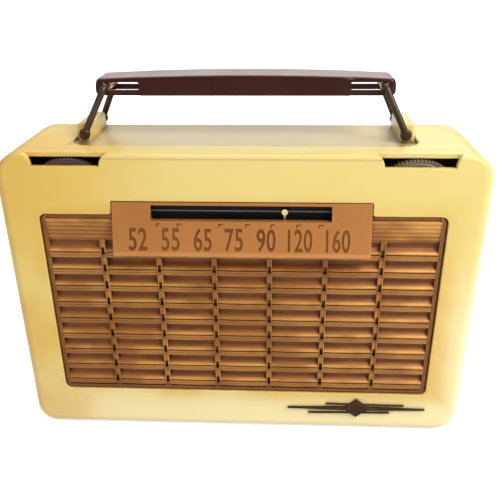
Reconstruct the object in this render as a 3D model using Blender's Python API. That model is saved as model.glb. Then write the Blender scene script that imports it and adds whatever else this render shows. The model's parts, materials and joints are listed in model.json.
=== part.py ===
"""A portable table radio with a folding carry handle, built as separate parts.

Metres, +Z up. The origin is at the middle of the object's base: X runs along the
dial, the face looks towards -Y, and the feet stand on z = 0. Depths into the case
are measured from the face plane with `deep()`, heights from the case's underside
with `up()`.
"""

import math

import bmesh
import bpy
from mathutils import Matrix, Vector

# Overall sizes of the case
CASE_W = 0.254
CASE_H = 0.165
CASE_D = 0.096
CASE_TAPER = 0.03
FOOT_OUT = 0.0012
DIAL_OUT = 0.0055
SEAM_DEPTH = 0.0133
TOUCH_GAP = 0.0003

# Shell walls and roundings
WALL = 0.0028
FRONT_TOP_WALL = 0.0021
REAR_TOP_WALL = 0.005
CORNER_TOP = 0.014
CORNER_LOW = 0.011
FACE_ROLL = 0.006
ROLL_SOFTEN = 0.8
ROLL_ANGLES = (30, 55, 75, 90)
TOP_ROLL = 0.0022
REAR_ROLL = 0.016
REAR_TOP_ROLL = 0.032
REAR_LOW_ROLL = 0.010

# Thumbwheels and their notches
WHEEL_R = 0.022
WHEEL_T = 0.005
WHEEL_X = 0.089
WHEEL_TEETH = 72
TOOTH_DEPTH = 0.0008
WHEEL_BEHIND_WALL = 0.0004
WHEEL_TOP_CLEAR = 0.0006
NOTCH_HALF = 0.0175
NOTCH_FLARE = 0.0045
NOTCH_DROP = 0.0062
NOTCH_DEPTH = 0.0045
NOTCH_STEPS = 5
SHAFT_R = 0.003

# Grille
GRILLE_HALF = 0.106
GRILLE_LOW = 0.0254
GRILLE_TOP = 0.1329
GRILLE_CORNER = 0.0035
GRILLE_INSET = 0.0008
GRILLE_DEEP = 0.006
GRILLE_COLUMNS = 7
GRILLE_ROWS = 9
ROW_LOW = 0.028
ROW_PITCH = 0.01
SLOT_SHARE = 0.34
RIB_PITCH = 0.0298
RIB_W = 0.003
BODY_TOP = 0.1175

# Dial
DIAL_HALF = 0.0669
DIAL_LOW = 0.112
DIAL_TOP = 0.1402
DIAL_WALL = 0.0015
DIAL_SKIRT = 0.0012
WINDOW_HALF = 0.0465
WINDOW_LOW = 0.1308
WINDOW_TOP = 0.1387
POINTER_X = 0.0225
POINTER_Z = 0.1345
RAIL_Z = 0.119
RAIL_DEPTH = 0.008
RAIL_R = 0.001

# Tuning drive
HUB_R = 0.012
DRUM_R = 0.026
DRUM_X = 0.046
DRUM_Z = 0.1326
DRUM_DEPTH = 0.0125
DRUM_T = 0.003
POST_R = 0.0025
POST_Z = 0.126
POST_LEFT_X = -0.056
POST_RIGHT_X = 0.0795
CORD_R = 0.0003

# Chassis
SHELF_Z = 0.104
SHELF_T = 0.0012
FLANGE_DEPTH = 0.017
FLANGE_TOP = 0.15
CHASSIS_HALF = 0.112
SHELF_BACK = 0.088

# Loudspeaker
SPEAKER_R = 0.044
SPEAKER_Z = 0.057
BAFFLE_DEPTH = 0.008
BAFFLE_T = 0.002
MAGNET_R = 0.017

# Carry handle and its wire bails
HANDLE_HALF = 0.081
HANDLE_W = 0.023
HANDLE_Y = 0.053
HANDLE_LOW = 0.1863
HANDLE_END_TOP = 0.1956
HANDLE_RISE = 0.002
HANDLE_WEB = 0.0014
HANDLE_FLANGE = 0.002
HANDLE_END_WALL = 0.0034
WIRE_R = 0.0018
PIVOT_X = 0.0864
PIVOT_Z = 0.1675
CROSS_X = 0.0751
CROSS_Z = 0.1913
FOLD_LIMIT = math.radians(60)
FOLD_STEPS = 60
LEG_FOOT_HALF = 0.0203
LEG_HEAD_HALF = 0.0143
SLEEVE_R = 0.0025

# Recess and towers on the top
RECESS_HALF = 0.092
RECESS_FRONT = 0.019
RECESS_CORNER = 0.012
RECESS_FLOOR = 0.1629
TOWER_IN = 0.0837
TOWER_OUT = 0.0915
TOWER_FRONT = 0.0345
TOWER_BACK = 0.0715
TOWER_LEAN = 0.0035
TOWER_TOP = 0.1722

# Back door
DOOR_HALF = 0.1
DOOR_LOW = 0.02
DOOR_TOP = 0.126
DOOR_T = 0.0028
BARREL_R = 0.0024
DOOR_PIN_R = 0.0009
DOOR_GAP = 0.0005
BOSS_W = 0.006
BOSS_D = 0.004
BOSS_H = 0.004

# Feet and badge
FOOT_R = 0.005
FOOT_STEM_R = 0.002
FOOT_X = 0.095
FOOT_FRONT = 0.024
FOOT_BACK = 0.078
BADGE_LEFT = 0.0255
BADGE_RIGHT = 0.104
BADGE_LOW = 0.0097
BADGE_TOP = 0.0225
BADGE_T = 0.0012
BADGE_Z = 0.0155
BADGE_BAR_HALF = 0.0016
BADGE_TIP_HALF = 0.0005
BADGE_LOZENGE = 0.007
BADGE_STEMS = (0.045, 0.085)
BADGE_STEM_R = 0.001
BORE_CLEARANCE = 0.0004
BORE_END = 0.044

# Ventilation slots in the door
VENT_ROWS = 4
VENT_LOW = 0.085
VENT_STEP = 0.008
VENT_H = 0.003
VENT_HALF = 0.022
VENT_PITCH = 0.056

# Small sizes of the inner pieces
FLANGE_OVER = 0.0025
FLANGE_T = 0.0012
SCALE_OVER = 0.003
SCALE_DEPTH = 0.0046
SCALE_T = 0.0008
POINTER_HALF = 0.0025
POINTER_DEPTH = 0.0026
POINTER_T = 0.0006
ARM_HALF = 0.0006
DOT_R = 0.0016
RAIL_SHORT = 0.006
CHEEK = 0.0007
CONTROL_R = 0.012
CONTROL_L = 0.014
CONTROL_GRIP = 0.006
CAPACITOR_FRONT = 0.0195
CAPACITOR_BACK = 0.058
CAPACITOR_HALF = 0.0215
CAPACITOR_DROP = 0.0245
CAPACITOR_RISE = 0.02
FRAME_T = 0.0012
GANG_PLATES = 5
PLATE_T = 0.0009
ROTOR_R = 0.0165
STATOR_HALF = 0.017
POST_HEAD = 0.001
VALVE_X = (-0.05, -0.022, 0.006, 0.086)
VALVE_DEPTHS = (0.04, 0.04, 0.04, 0.04)
SOCKET_R = 0.0115
SOCKET_RIM = 0.0025
SOCKET_H = 0.002
SOCKET_DROP = 0.006
VALVE_R = 0.0092
VALVE_H = 0.046
VALVE_SHOULDER = ((1, 0.82), (0.86, 0.9), (0.4, 0.95), (0.18, 0.965))
CAN_X = (-0.036, -0.008)
CAN_DEPTH = 0.067
CAN_HALF = 0.01
CAN_H = 0.042
CAN_EDGE = 0.002
TRANSFORMER_X = -0.082
TRANSFORMER_HALF = 0.021
TRANSFORMER_THICK = 0.015
TRANSFORMER_DEPTH = 0.062
TRANSFORMER_H = 0.034
TRANSFORMER_EDGE = 0.0009
FILTER_X = 0.02
FILTER_DEPTH = 0.068
FILTER_R = 0.0095
FILTER_H = 0.04
BASKET_RIM = 0.004
BASKET_T = 0.001
BASKET_DEPTH = 0.02
CONE_LIP = 0.001
CLOTH_T = 0.0006
VOICE_R = 0.009
MAGNET_L = 0.014
BATTERY_X = -0.065
BATTERY_HALF = 0.0355
BATTERY_THICK = 0.0165
BATTERY_DEPTH = 0.0705
BATTERY_H = 0.092
BATTERY_EDGE = 0.0012
CELL_X = (0.02, 0.057)
CELL_R = 0.0165
CELL_H = 0.0585
CELL_TIP_R = 0.0055
CELL_TIP = 0.0015
CLIP_T = 0.0008
CLIP_W = 0.012
CLIP_H = 0.02
AERIAL_HALF = 0.094
AERIAL_LOW = 0.03
AERIAL_HIGH = 0.12
AERIAL_W = 0.008
AERIAL_T = 0.0012
HANDLE_CORNER = 0.003
BEND_R = 0.0032
SLEEVE_CLEARANCE = 0.0002

FACE_Y = -(CASE_D - DIAL_OUT) / 2
WHEEL_DEPTH = WALL + WHEEL_BEHIND_WALL
WHEEL_Z = CASE_H - FRONT_TOP_WALL - WHEEL_TOP_CLEAR - WHEEL_R
CORD_RUN_DEPTH = WHEEL_DEPTH + WHEEL_T + TOUCH_GAP + POST_HEAD
FOOT_STEM = WALL


def deep(distance):
    """The Y of a point this far behind the face plane."""
    return FACE_Y + distance


def up(height):
    """The Z of a point this far above the case's underside."""
    return FOOT_OUT + height


def narrowed(height):
    """How much the case's width is left at this height: it narrows towards the base."""
    return 1 - CASE_TAPER * (1 - height / CASE_H)


def door_axis_y():
    """The Y of the back door's hinge, a barrel's radius inside the rear plane."""
    return deep(CASE_D - BARREL_R)


def foot_places():
    """The middles of the four feet, as (x, y)."""
    return [(x, deep(depth)) for x in (-FOOT_X, FOOT_X) for depth in (FOOT_FRONT, FOOT_BACK)]


def approach(angle):
    """How far a bail's crossbar moves towards the middle when the bail has folded by this angle."""
    across = PIVOT_X - CROSS_X
    height = CROSS_Z - PIVOT_Z
    return height * math.sin(angle) - across * (1 - math.cos(angle))


def fold_travel():
    """How far the right crossbar runs in its slot while the handle slides at an even rate."""
    rate = approach(FOLD_LIMIT) / FOLD_LIMIT
    angles = [FOLD_LIMIT * i / FOLD_STEPS for i in range(FOLD_STEPS + 1)]
    return max(2 * approach(angle) - rate * angle for angle in angles)


def bore_runs():
    """The two wire bores of a tower, as (first depth, length): one from each end."""
    front = TOWER_FRONT - WIRE_R
    length = BORE_END - front
    back = 2 * HANDLE_Y - BORE_END
    return [(front, length), (back, length)]


def clear_scene():
    """Removes whatever the scene holds."""
    for thing in list(bpy.data.objects):
        bpy.data.objects.remove(thing, do_unlink=True)


def finish(name, colour, roughness, metallic=0.0):
    """A Principled material."""
    made = bpy.data.materials.new(name)
    made.use_nodes = True
    shader = made.node_tree.nodes["Principled BSDF"]
    shader.inputs["Base Color"].default_value = (*colour, 1)
    shader.inputs["Roughness"].default_value = roughness
    shader.inputs["Metallic"].default_value = metallic
    return made


def link(name, mesh, material=None):
    """Puts a mesh into the scene as a named object."""
    thing = bpy.data.objects.new(name, mesh)
    bpy.context.scene.collection.objects.link(thing)
    if material:
        mesh.materials.append(material)
    return thing


def from_bmesh(name, bm, material=None):
    """An object from a bmesh, with its faces turned outwards."""
    bmesh.ops.recalc_face_normals(bm, faces=bm.faces)
    mesh = bpy.data.meshes.new(name)
    bm.to_mesh(mesh)
    bm.free()
    return link(name, mesh, material)


def box(name, low, high, material=None):
    """A box between two corners."""
    bm = bmesh.new()
    size = Vector(high) - Vector(low)
    middle = (Vector(high) + Vector(low)) / 2
    bmesh.ops.create_cube(bm, size=1)
    bmesh.ops.transform(bm, matrix=Matrix.Diagonal((*size, 1)), verts=bm.verts)
    bmesh.ops.translate(bm, vec=middle, verts=bm.verts)
    return from_bmesh(name, bm, material)


def loft(name, loops, material=None):
    """A closed skin through loops of equally many points, with a face over each end."""
    bm = bmesh.new()
    rings = [[bm.verts.new(point) for point in loop] for loop in loops]
    count = len(rings[0])
    for ring, after in zip(rings, rings[1:]):
        for i in range(count):
            j = (i + 1) % count
            bm.faces.new((ring[i], ring[j], after[j], after[i]))
    bm.faces.new(rings[0])
    bm.faces.new(rings[-1])
    return from_bmesh(name, bm, material)


def turned(name, profile, centre, axis="Y", steps=32, material=None):
    """A solid turned about an axis through centre: profile holds (radius, distance along the axis).

    The profile is a closed outline, and points at radius 0 lie on the axis.
    """
    bm = bmesh.new()
    rings = []
    for radius, along in profile:
        if radius == 0:
            rings.append([bm.verts.new((0, 0, along))])
            continue
        ring = []
        for i in range(steps):
            angle = 2 * math.pi * i / steps
            ring.append(bm.verts.new((radius * math.cos(angle), radius * math.sin(angle), along)))
        rings.append(ring)
    pairs = list(zip(rings, rings[1:] + rings[:1]))
    for ring, after in pairs:
        if len(ring) == 1 and len(after) == 1:
            continue
        for i in range(steps):
            j = (i + 1) % steps
            if len(ring) == 1:
                bm.faces.new((ring[0], after[j], after[i]))
            elif len(after) == 1:
                bm.faces.new((ring[i], ring[j], after[0]))
            else:
                bm.faces.new((ring[i], ring[j], after[j], after[i]))
    if axis == "Y":
        bmesh.ops.transform(bm, matrix=Matrix.Rotation(-math.pi / 2, 4, "X"), verts=bm.verts)
    elif axis == "X":
        bmesh.ops.transform(bm, matrix=Matrix.Rotation(math.pi / 2, 4, "Y"), verts=bm.verts)
    thing = from_bmesh(name, bm, material)
    thing.location = centre
    thing.data.shade_smooth()
    thing.data.set_sharp_from_angle(angle=math.radians(35))
    return thing


def rod(name, start, length, radius, axis="Y", steps=16, material=None):
    """A plain round bar from start, running along the axis."""
    profile = [(0, 0), (radius, 0), (radius, length), (0, length)]
    return turned(name, profile, start, axis, steps, material)


def prism(name, outline, axis, low, high, material=None):
    """An outline carried along an axis. It holds (x, z) for Y, (y, z) for X and (x, y) for Z."""
    loops = []
    for level in (low, high):
        if axis == "Y":
            loops.append([(a, level, b) for a, b in outline])
        elif axis == "X":
            loops.append([(level, a, b) for a, b in outline])
        else:
            loops.append([(a, b, level) for a, b in outline])
    return loft(name, loops, material)


def rounded(half, low, high, corner_low, corner_top, steps=6):
    """(x, z) points of an upright rectangle with rounded corners, anticlockwise from the right."""
    points = []
    corners = [
        (half - corner_low, low + corner_low, corner_low, -90),
        (half - corner_top, high - corner_top, corner_top, 0),
        (-half + corner_top, high - corner_top, corner_top, 90),
        (-half + corner_low, low + corner_low, corner_low, 180),
    ]
    for x, z, radius, first in corners:
        for i in range(steps + 1):
            angle = math.radians(first + 90 * i / steps)
            points.append((x + radius * math.cos(angle), z + radius * math.sin(angle)))
    return points


def taken_in(distance, radius):
    """How far a quarter-round edge is set in at this distance from its end plane."""
    if distance >= radius:
        return 0.0
    return radius - math.sqrt(max(radius**2 - (radius - distance) ** 2, 0.0))


def taper(points):
    """Points whose X follows the case's narrowing, from heights above the case's underside."""
    return [(x * narrowed(z), z) for x, z in points]


def apply_modifiers(thing):
    """Replaces an object's mesh by what its modifiers make of it."""
    graph = bpy.context.evaluated_depsgraph_get()
    mesh = bpy.data.meshes.new_from_object(thing.evaluated_get(graph))
    thing.modifiers.clear()
    thing.data = mesh


def combine(thing, others, operation):
    """Cuts the other solids out of a thing, or joins them to it, and removes them."""
    for other in others:
        other.hide_render = True
        other.display_type = "WIRE"
        step = thing.modifiers.new(operation.lower(), "BOOLEAN")
        step.operation = operation
        step.solver = "EXACT"
        step.object = other
    bpy.context.view_layer.update()
    apply_modifiers(thing)
    for other in others:
        bpy.data.objects.remove(other, do_unlink=True)
    return thing


def cut(thing, *others):
    """Cuts the other solids out of a thing."""
    return combine(thing, others, "DIFFERENCE")


def join(thing, *others):
    """Joins the other solids to a thing."""
    return combine(thing, others, "UNION")


def hang_on(thing, place):
    """Puts a thing's origin on its joint's axis and leaves its shape where it is."""
    thing.data.transform(Matrix.Translation(-Vector(place)))
    thing.location = place
    return thing


# ---------------------------------------------------------------- case


def case_loop(depth, from_end, rolls, walls):
    """The case's outline at one depth.

    from_end is the distance from the shell's end plane, rolls the edge radii and
    walls the wall thicknesses (side, top, low), 0 for the outer skin.
    """
    side_roll, top_roll, low_roll = rolls
    side_wall, top_wall, low_wall = walls
    side = taken_in(from_end, side_roll)
    top = taken_in(from_end, top_roll)
    low = taken_in(from_end, low_roll)
    thickest = max(walls)
    soften = ROLL_SOFTEN * min(side, FACE_ROLL)
    corner_top = CORNER_TOP - soften - thickest
    corner_low = CORNER_LOW - soften - thickest
    points = rounded(
        CASE_W / 2 - side - side_wall,
        low + low_wall,
        CASE_H - top - top_wall,
        corner_low,
        corner_top,
    )
    return [(x, deep(depth), up(z)) for x, z in taper(points)]


def roll_stations(radii):
    """Distances from an end plane at which a shell's rolls are sampled."""
    stations = {0.0}
    for radius in radii:
        for degrees in ROLL_ANGLES:
            stations.add(round(radius * (1 - math.cos(math.radians(degrees))), 5))
    return sorted(stations)


def shell(name, rolls, top_wall, end_depth, rim_depth, material):
    """One open half of the case, from its flat end to its rim."""
    facing = 1 if rim_depth > end_depth else -1
    length = abs(rim_depth - end_depth)
    inner_rolls = tuple(radius - wall for radius, wall in zip(rolls, (WALL, top_wall, WALL)))
    walls = (WALL, top_wall, WALL)
    loops = []
    for distance in [*roll_stations(rolls), length]:
        loops.append(case_loop(end_depth + facing * distance, distance, rolls, (0, 0, 0)))
    inner = [distance + WALL for distance in roll_stations(inner_rolls)]
    for distance in [length, *reversed(inner)]:
        loops.append(case_loop(end_depth + facing * distance, distance - WALL, inner_rolls, walls))
    return loft(name, loops, material)


def grille_outline(grow=0.0):
    """The grille opening as (x, z) above the case's underside, grown by a clearance."""
    corner = GRILLE_CORNER + max(grow, 0)
    return rounded(GRILLE_HALF + grow, GRILLE_LOW - grow, GRILLE_TOP + grow, corner, corner, 4)


def raised(points):
    """Heights above the case's underside turned to heights above the floor."""
    return [(a, up(b)) for a, b in points]


def notch_cutter(side):
    """The thumbwheel notch: a slot in the top front edge whose ends flare outwards."""
    bottom = CASE_H - NOTCH_DROP
    outline = []
    for end in (1, -1):
        for i in range(NOTCH_STEPS + 1):
            share = i / NOTCH_STEPS if end > 0 else 1 - i / NOTCH_STEPS
            flare = NOTCH_FLARE * (1 - math.cos(math.radians(90 * share)))
            x = side * WHEEL_X + end * (NOTCH_HALF + flare)
            outline.append((x, bottom + NOTCH_DROP * math.sin(math.radians(90 * share))))
        if end > 0:
            reach = NOTCH_HALF + NOTCH_FLARE
            outline.append((side * WHEEL_X + reach, CASE_H + WALL))
            outline.append((side * WHEEL_X - reach, CASE_H + WALL))
    return prism("notch", raised(outline), "Y", deep(-WALL), deep(NOTCH_DEPTH))


def front_cabinet(cream):
    """The shell with the dial and the grille, notched above for the two thumbwheels."""
    rolls = (FACE_ROLL, TOP_ROLL, FACE_ROLL)
    rim = SEAM_DEPTH - TOUCH_GAP / 2
    body = shell("front_cabinet", rolls, FRONT_TOP_WALL, 0.0, rim, cream)
    through = (deep(-WALL), deep(2 * WALL))
    opening = prism("opening", raised(taper(grille_outline(TOUCH_GAP))), "Y", *through)
    dial = box(
        "dial_opening",
        (-DIAL_HALF - TOUCH_GAP, through[0], up(DIAL_LOW)),
        (DIAL_HALF + TOUCH_GAP, through[1], up(DIAL_TOP + TOUCH_GAP)),
    )
    cut(body, opening, dial, notch_cutter(1), notch_cutter(-1))
    holes = []
    for x in BADGE_STEMS:
        start = (x, deep(-WALL), up(BADGE_Z))
        holes.append(rod("hole", start, 3 * WALL, BADGE_STEM_R + TOUCH_GAP, "Y", 12))
    return cut(body, *holes)


def tower(side):
    """A moulded tower that carries one bail, with its ends leaning in towards the top."""
    base = RECESS_FLOOR - TOUCH_GAP * 4
    outline = [
        (deep(TOWER_FRONT), up(base)),
        (deep(TOWER_BACK), up(base)),
        (deep(TOWER_BACK - TOWER_LEAN), up(TOWER_TOP)),
        (deep(TOWER_FRONT + TOWER_LEAN), up(TOWER_TOP)),
    ]
    low, high = sorted((side * TOWER_IN, side * TOWER_OUT))
    return prism("tower", outline, "X", low, high)


def tower_bores():
    """The holes in both towers' ends that the bails turn in."""
    bores = []
    for side in (1, -1):
        for start, length in bore_runs():
            place = (side * PIVOT_X, deep(start), up(PIVOT_Z))
            bores.append(rod("bore", place, length, WIRE_R + BORE_CLEARANCE, "Y", 12))
    return bores


def pin_bosses():
    """The blocks inside the shell that hold the ends of the door's pin."""
    blocks = []
    for side in (1, -1):
        low, high = sorted((side * (DOOR_HALF + DOOR_GAP), side * (DOOR_HALF + DOOR_GAP + BOSS_W)))
        near = (low, deep(CASE_D - WALL - BOSS_D), up(DOOR_LOW - BOSS_H))
        far = (high, deep(CASE_D - WALL / 2), up(DOOR_LOW + BOSS_H))
        blocks.append(box("boss", near, far))
    return blocks


def rear_cabinet(cream):
    """The deep shell: a recess and two towers above, a door opening behind, feet below."""
    rolls = (REAR_ROLL, REAR_TOP_ROLL, REAR_LOW_ROLL)
    rim = SEAM_DEPTH + TOUCH_GAP / 2
    body = shell("rear_cabinet", rolls, REAR_TOP_WALL, CASE_D, rim, cream)
    near, far = deep(RECESS_FRONT), deep(CASE_D + WALL)
    recess_plan = rounded(RECESS_HALF, near, far, RECESS_CORNER, RECESS_CORNER)
    recess = prism("recess", recess_plan, "Z", up(RECESS_FLOOR), up(CASE_H + WALL))
    cut(body, recess)
    join(body, tower(1), tower(-1))
    cut(body, *tower_bores())
    join(body, *pin_bosses())
    door_hole = box(
        "door_hole",
        (-DOOR_HALF - DOOR_GAP, deep(CASE_D - 2 * WALL), up(DOOR_LOW - BARREL_R - DOOR_GAP)),
        (DOOR_HALF + DOOR_GAP, deep(CASE_D + WALL), up(DOOR_TOP + DOOR_GAP)),
    )
    half = DOOR_HALF + DOOR_GAP + BOSS_W / 2 + 4 * TOUCH_GAP
    start = (-half, door_axis_y(), up(DOOR_LOW))
    pin_hole = rod("pin_hole", start, 2 * half, DOOR_PIN_R + TOUCH_GAP, "X", 12)
    feet = []
    for x, y in foot_places():
        feet.append(rod("foot_hole", (x, y, up(-WALL)), 3 * WALL, FOOT_STEM_R + TOUCH_GAP, "Z", 12))
    return cut(body, door_hole, pin_hole, *feet)


def back_door(cream):
    """A flat panel whose rounded lower edge is the hinge barrel."""
    axis_y, axis_z = door_axis_y(), up(DOOR_LOW)
    outline = [
        (deep(CASE_D), up(DOOR_TOP)),
        (deep(CASE_D - DOOR_T), up(DOOR_TOP)),
        (deep(CASE_D - DOOR_T), axis_z),
    ]
    for i in range(9):
        angle = math.radians(180 + 180 * i / 8)
        outline.append((axis_y + BARREL_R * math.cos(angle), axis_z + BARREL_R * math.sin(angle)))
    door = prism("back_door", outline, "X", -DOOR_HALF, DOOR_HALF, cream)
    reach = DOOR_HALF + WALL
    bore = rod("bore", (-reach, axis_y, axis_z), 2 * reach, DOOR_PIN_R + TOUCH_GAP, "X", 12)
    near, far = deep(CASE_D - 2 * DOOR_T), deep(CASE_D + DOOR_T)
    vents = []
    for row in range(VENT_ROWS):
        for column in (-1, 0, 1):
            x = column * VENT_PITCH
            z = up(VENT_LOW + row * VENT_STEP)
            vents.append(box("vent", (x - VENT_HALF, near, z), (x + VENT_HALF, far, z + VENT_H)))
    cut(door, bore, *vents)
    return hang_on(door, (0, axis_y, axis_z))


def build_case():
    """The two shells, the door on its pin, and the four rubber feet."""
    cream = finish("cream_plastic", (0.93, 0.76, 0.42), 0.32)
    steel = finish("pin_steel", (0.45, 0.44, 0.42), 0.4, 1.0)
    rubber = finish("foot_rubber", (0.05, 0.045, 0.04), 0.8)
    front_cabinet(cream)
    rear_cabinet(cream)
    back_door(cream)
    length = 2 * (DOOR_HALF + DOOR_GAP + BOSS_W / 2)
    rod("door_pin", (-length / 2, door_axis_y(), up(DOOR_LOW)), length, DOOR_PIN_R, "X", 12, steel)
    for index, (x, y) in enumerate(foot_places(), 1):
        top = FOOT_OUT - TOUCH_GAP
        stem_top = top + FOOT_STEM
        disc = [(0, 0), (FOOT_R, 0), (FOOT_R, top)]
        profile = [*disc, (FOOT_STEM_R, top), (FOOT_STEM_R, stem_top), (0, stem_top)]
        turned(f"foot_{index}", profile, (x, y, 0), "Z", 16, rubber)


def build_badge():
    """A plain ornament: a long bar that tapers to both ends, with a lozenge across it."""
    brown = finish("badge_brown", (0.06, 0.035, 0.025), 0.35, 0.6)
    middle = (BADGE_LEFT + BADGE_RIGHT) / 2
    outline = [
        (BADGE_LEFT, BADGE_Z - BADGE_TIP_HALF),
        (middle - BADGE_LOZENGE, BADGE_Z - BADGE_BAR_HALF),
        (middle, BADGE_LOW),
        (middle + BADGE_LOZENGE, BADGE_Z - BADGE_BAR_HALF),
        (BADGE_RIGHT, BADGE_Z - BADGE_TIP_HALF),
        (BADGE_RIGHT, BADGE_Z + BADGE_TIP_HALF),
        (middle + BADGE_LOZENGE, BADGE_Z + BADGE_BAR_HALF),
        (middle, BADGE_TOP),
        (middle - BADGE_LOZENGE, BADGE_Z + BADGE_BAR_HALF),
        (BADGE_LEFT, BADGE_Z + BADGE_TIP_HALF),
    ]
    back = -TOUCH_GAP
    plate = prism("badge", raised(outline), "Y", deep(back - BADGE_T), deep(back), brown)
    stems = []
    for x in BADGE_STEMS:
        start = (x, deep(back - BADGE_T / 2), up(BADGE_Z))
        stems.append(rod("stem", start, BADGE_T + WALL, BADGE_STEM_R, "Y", 12))
    join(plate, *stems)


# ---------------------------------------------------------------- grille and dial


def build_grille():
    """A moulded grille: columns of louvre slots between ribs, notched for the dial."""
    copper = finish("grille_copper", (0.42, 0.22, 0.09), 0.42, 0.15)
    outline = taper(grille_outline())
    plate = prism("grille", raised(outline), "Y", deep(GRILLE_INSET), deep(WALL), copper)
    inner_half = (GRILLE_HALF - WALL) * narrowed(0)
    core_low, core_high = GRILLE_LOW + WALL / 2, BODY_TOP
    core = box(
        "core",
        (-inner_half, deep(WALL / 2), up(core_low)),
        (inner_half, deep(GRILLE_DEEP), up(core_high)),
    )
    flange = box(
        "flange",
        (-GRILLE_HALF, deep(WALL + TOUCH_GAP), up(GRILLE_LOW - FLANGE_OVER)),
        (GRILLE_HALF, deep(WALL + TOUCH_GAP + FLANGE_T), up(core_high)),
    )
    join(plate, core, flange)
    notch = box(
        "dial_notch",
        (-DIAL_HALF - TOUCH_GAP, deep(-WALL), up(DIAL_LOW - TOUCH_GAP)),
        (DIAL_HALF + TOUCH_GAP, deep(2 * GRILLE_DEEP), up(CASE_H)),
    )
    cut(plate, notch, louvre_slots(inner_half - RIB_W / 2))


def louvre_slots(edge):
    """The slots of all rows and columns as one cutter, none of them past the edge given."""
    bm = bmesh.new()
    reach = RIB_PITCH / 2 - RIB_W / 2
    for column in range(GRILLE_COLUMNS):
        middle = (column - (GRILLE_COLUMNS - 1) / 2) * RIB_PITCH
        left = max(middle - reach, -edge)
        right = min(middle + reach, edge)
        for row in range(GRILLE_ROWS):
            high = ROW_LOW + (row + 1) * ROW_PITCH
            low = high - ROW_PITCH * SLOT_SHARE
            if high > DIAL_LOW - WALL:
                continue
            made = bmesh.ops.create_cube(bm, size=1)["verts"]
            scale = Matrix.Diagonal((right - left, 4 * GRILLE_DEEP, high - low, 1))
            place = Matrix.Translation(((left + right) / 2, deep(0), up((low + high) / 2)))
            bmesh.ops.transform(bm, matrix=place @ scale, verts=made)
    return from_bmesh("slots", bm)


def build_dial():
    """The dial plate, a wedge shell with a window, and the black scale behind it."""
    copper = finish("dial_copper", (0.55, 0.3, 0.12), 0.28, 0.55)
    black = finish("scale_black", (0.012, 0.012, 0.012), 0.5)
    outer = [
        (deep(DIAL_SKIRT), up(DIAL_TOP)),
        (deep(0), up(DIAL_TOP)),
        (deep(-DIAL_OUT), up(DIAL_LOW + DIAL_SKIRT)),
        (deep(-DIAL_OUT), up(DIAL_LOW)),
        (deep(DIAL_SKIRT), up(DIAL_LOW)),
    ]
    plate = prism("dial_plate", outer, "X", -DIAL_HALF, DIAL_HALF, copper)
    inner = [
        (deep(2 * DIAL_SKIRT), up(DIAL_TOP - DIAL_WALL)),
        (deep(DIAL_WALL), up(DIAL_TOP - DIAL_WALL)),
        (deep(-DIAL_OUT + DIAL_WALL), up(DIAL_LOW + DIAL_WALL)),
        (deep(2 * DIAL_SKIRT), up(DIAL_LOW + DIAL_WALL)),
    ]
    hollow = prism("hollow", inner, "X", -DIAL_HALF + DIAL_WALL, DIAL_HALF - DIAL_WALL)
    window = box(
        "window",
        (-WINDOW_HALF, deep(-2 * DIAL_OUT), up(WINDOW_LOW)),
        (WINDOW_HALF, deep(DIAL_OUT), up(WINDOW_TOP)),
    )
    cut(plate, hollow, window)
    box(
        "dial_scale",
        (-WINDOW_HALF - SCALE_OVER, deep(SCALE_DEPTH), up(WINDOW_LOW - SCALE_OVER)),
        (WINDOW_HALF + SCALE_OVER, deep(SCALE_DEPTH + SCALE_T), up(WINDOW_TOP + SCALE_OVER / 2)),
        black,
    )


def build_pointer():
    """The pointer runs along a rail; its finger stands in front of the scale."""
    brass = finish("pointer_brass", (0.72, 0.52, 0.2), 0.35, 0.9)
    steel = finish("rail_steel", (0.5, 0.49, 0.47), 0.35, 1.0)
    half = POINTER_HALF
    rail_y, rail_z = deep(RAIL_DEPTH), up(RAIL_Z)
    carriage = box(
        "pointer",
        (POINTER_X - half, rail_y - half, rail_z - half),
        (POINTER_X + half, rail_y + half, rail_z + half),
        brass,
    )
    strip_y = deep(POINTER_DEPTH)
    left, right = POINTER_X - ARM_HALF, POINTER_X + ARM_HALF
    arm = box("arm", (left, strip_y, rail_z + half / 2), (right, rail_y, rail_z + half))
    strip_low, strip_high = (left, strip_y, rail_z + half / 2), (right, strip_y + POINTER_T, up(POINTER_Z))
    strip = box("strip", strip_low, strip_high)
    dot = rod("dot", (POINTER_X, strip_y - POINTER_T / 2, up(POINTER_Z)), 1.5 * POINTER_T, DOT_R, "Y", 16)
    join(carriage, arm, strip, dot)
    bore_start = (POINTER_X - 2 * half, rail_y, rail_z)
    cut(carriage, rod("bore", bore_start, 4 * half, RAIL_R + TOUCH_GAP, "X", 12))
    hang_on(carriage, (POINTER_X, rail_y, rail_z))
    length = POST_RIGHT_X - POST_LEFT_X - RAIL_SHORT
    rod("pointer_rail", (POST_LEFT_X, rail_y, rail_z), length, RAIL_R, "X", 12, steel)


# ---------------------------------------------------------------- tuning and volume


def toothed(radius, depth, teeth):
    """The outline of a knurled wheel, two points on each tooth and two between."""
    points = []
    for i in range(2 * teeth):
        reach = radius if i % 2 == 0 else radius - depth
        angle = math.pi * i / teeth
        points.append((reach * math.cos(angle), reach * math.sin(angle)))
    return points


def thumbwheel(name, side, material):
    """A knurled wheel with a bored middle for its shaft; its origin is on its axis."""
    outline = toothed(WHEEL_R, TOOTH_DEPTH, WHEEL_TEETH)
    wheel = prism(name, outline, "Y", 0, WHEEL_T, material)
    cut(wheel, rod("bore", (0, -WHEEL_T, 0), 3 * WHEEL_T, SHAFT_R + TOUCH_GAP, "Y", 16))
    wheel.location = (side * WHEEL_X, deep(WHEEL_DEPTH), up(WHEEL_Z))
    return wheel


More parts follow.
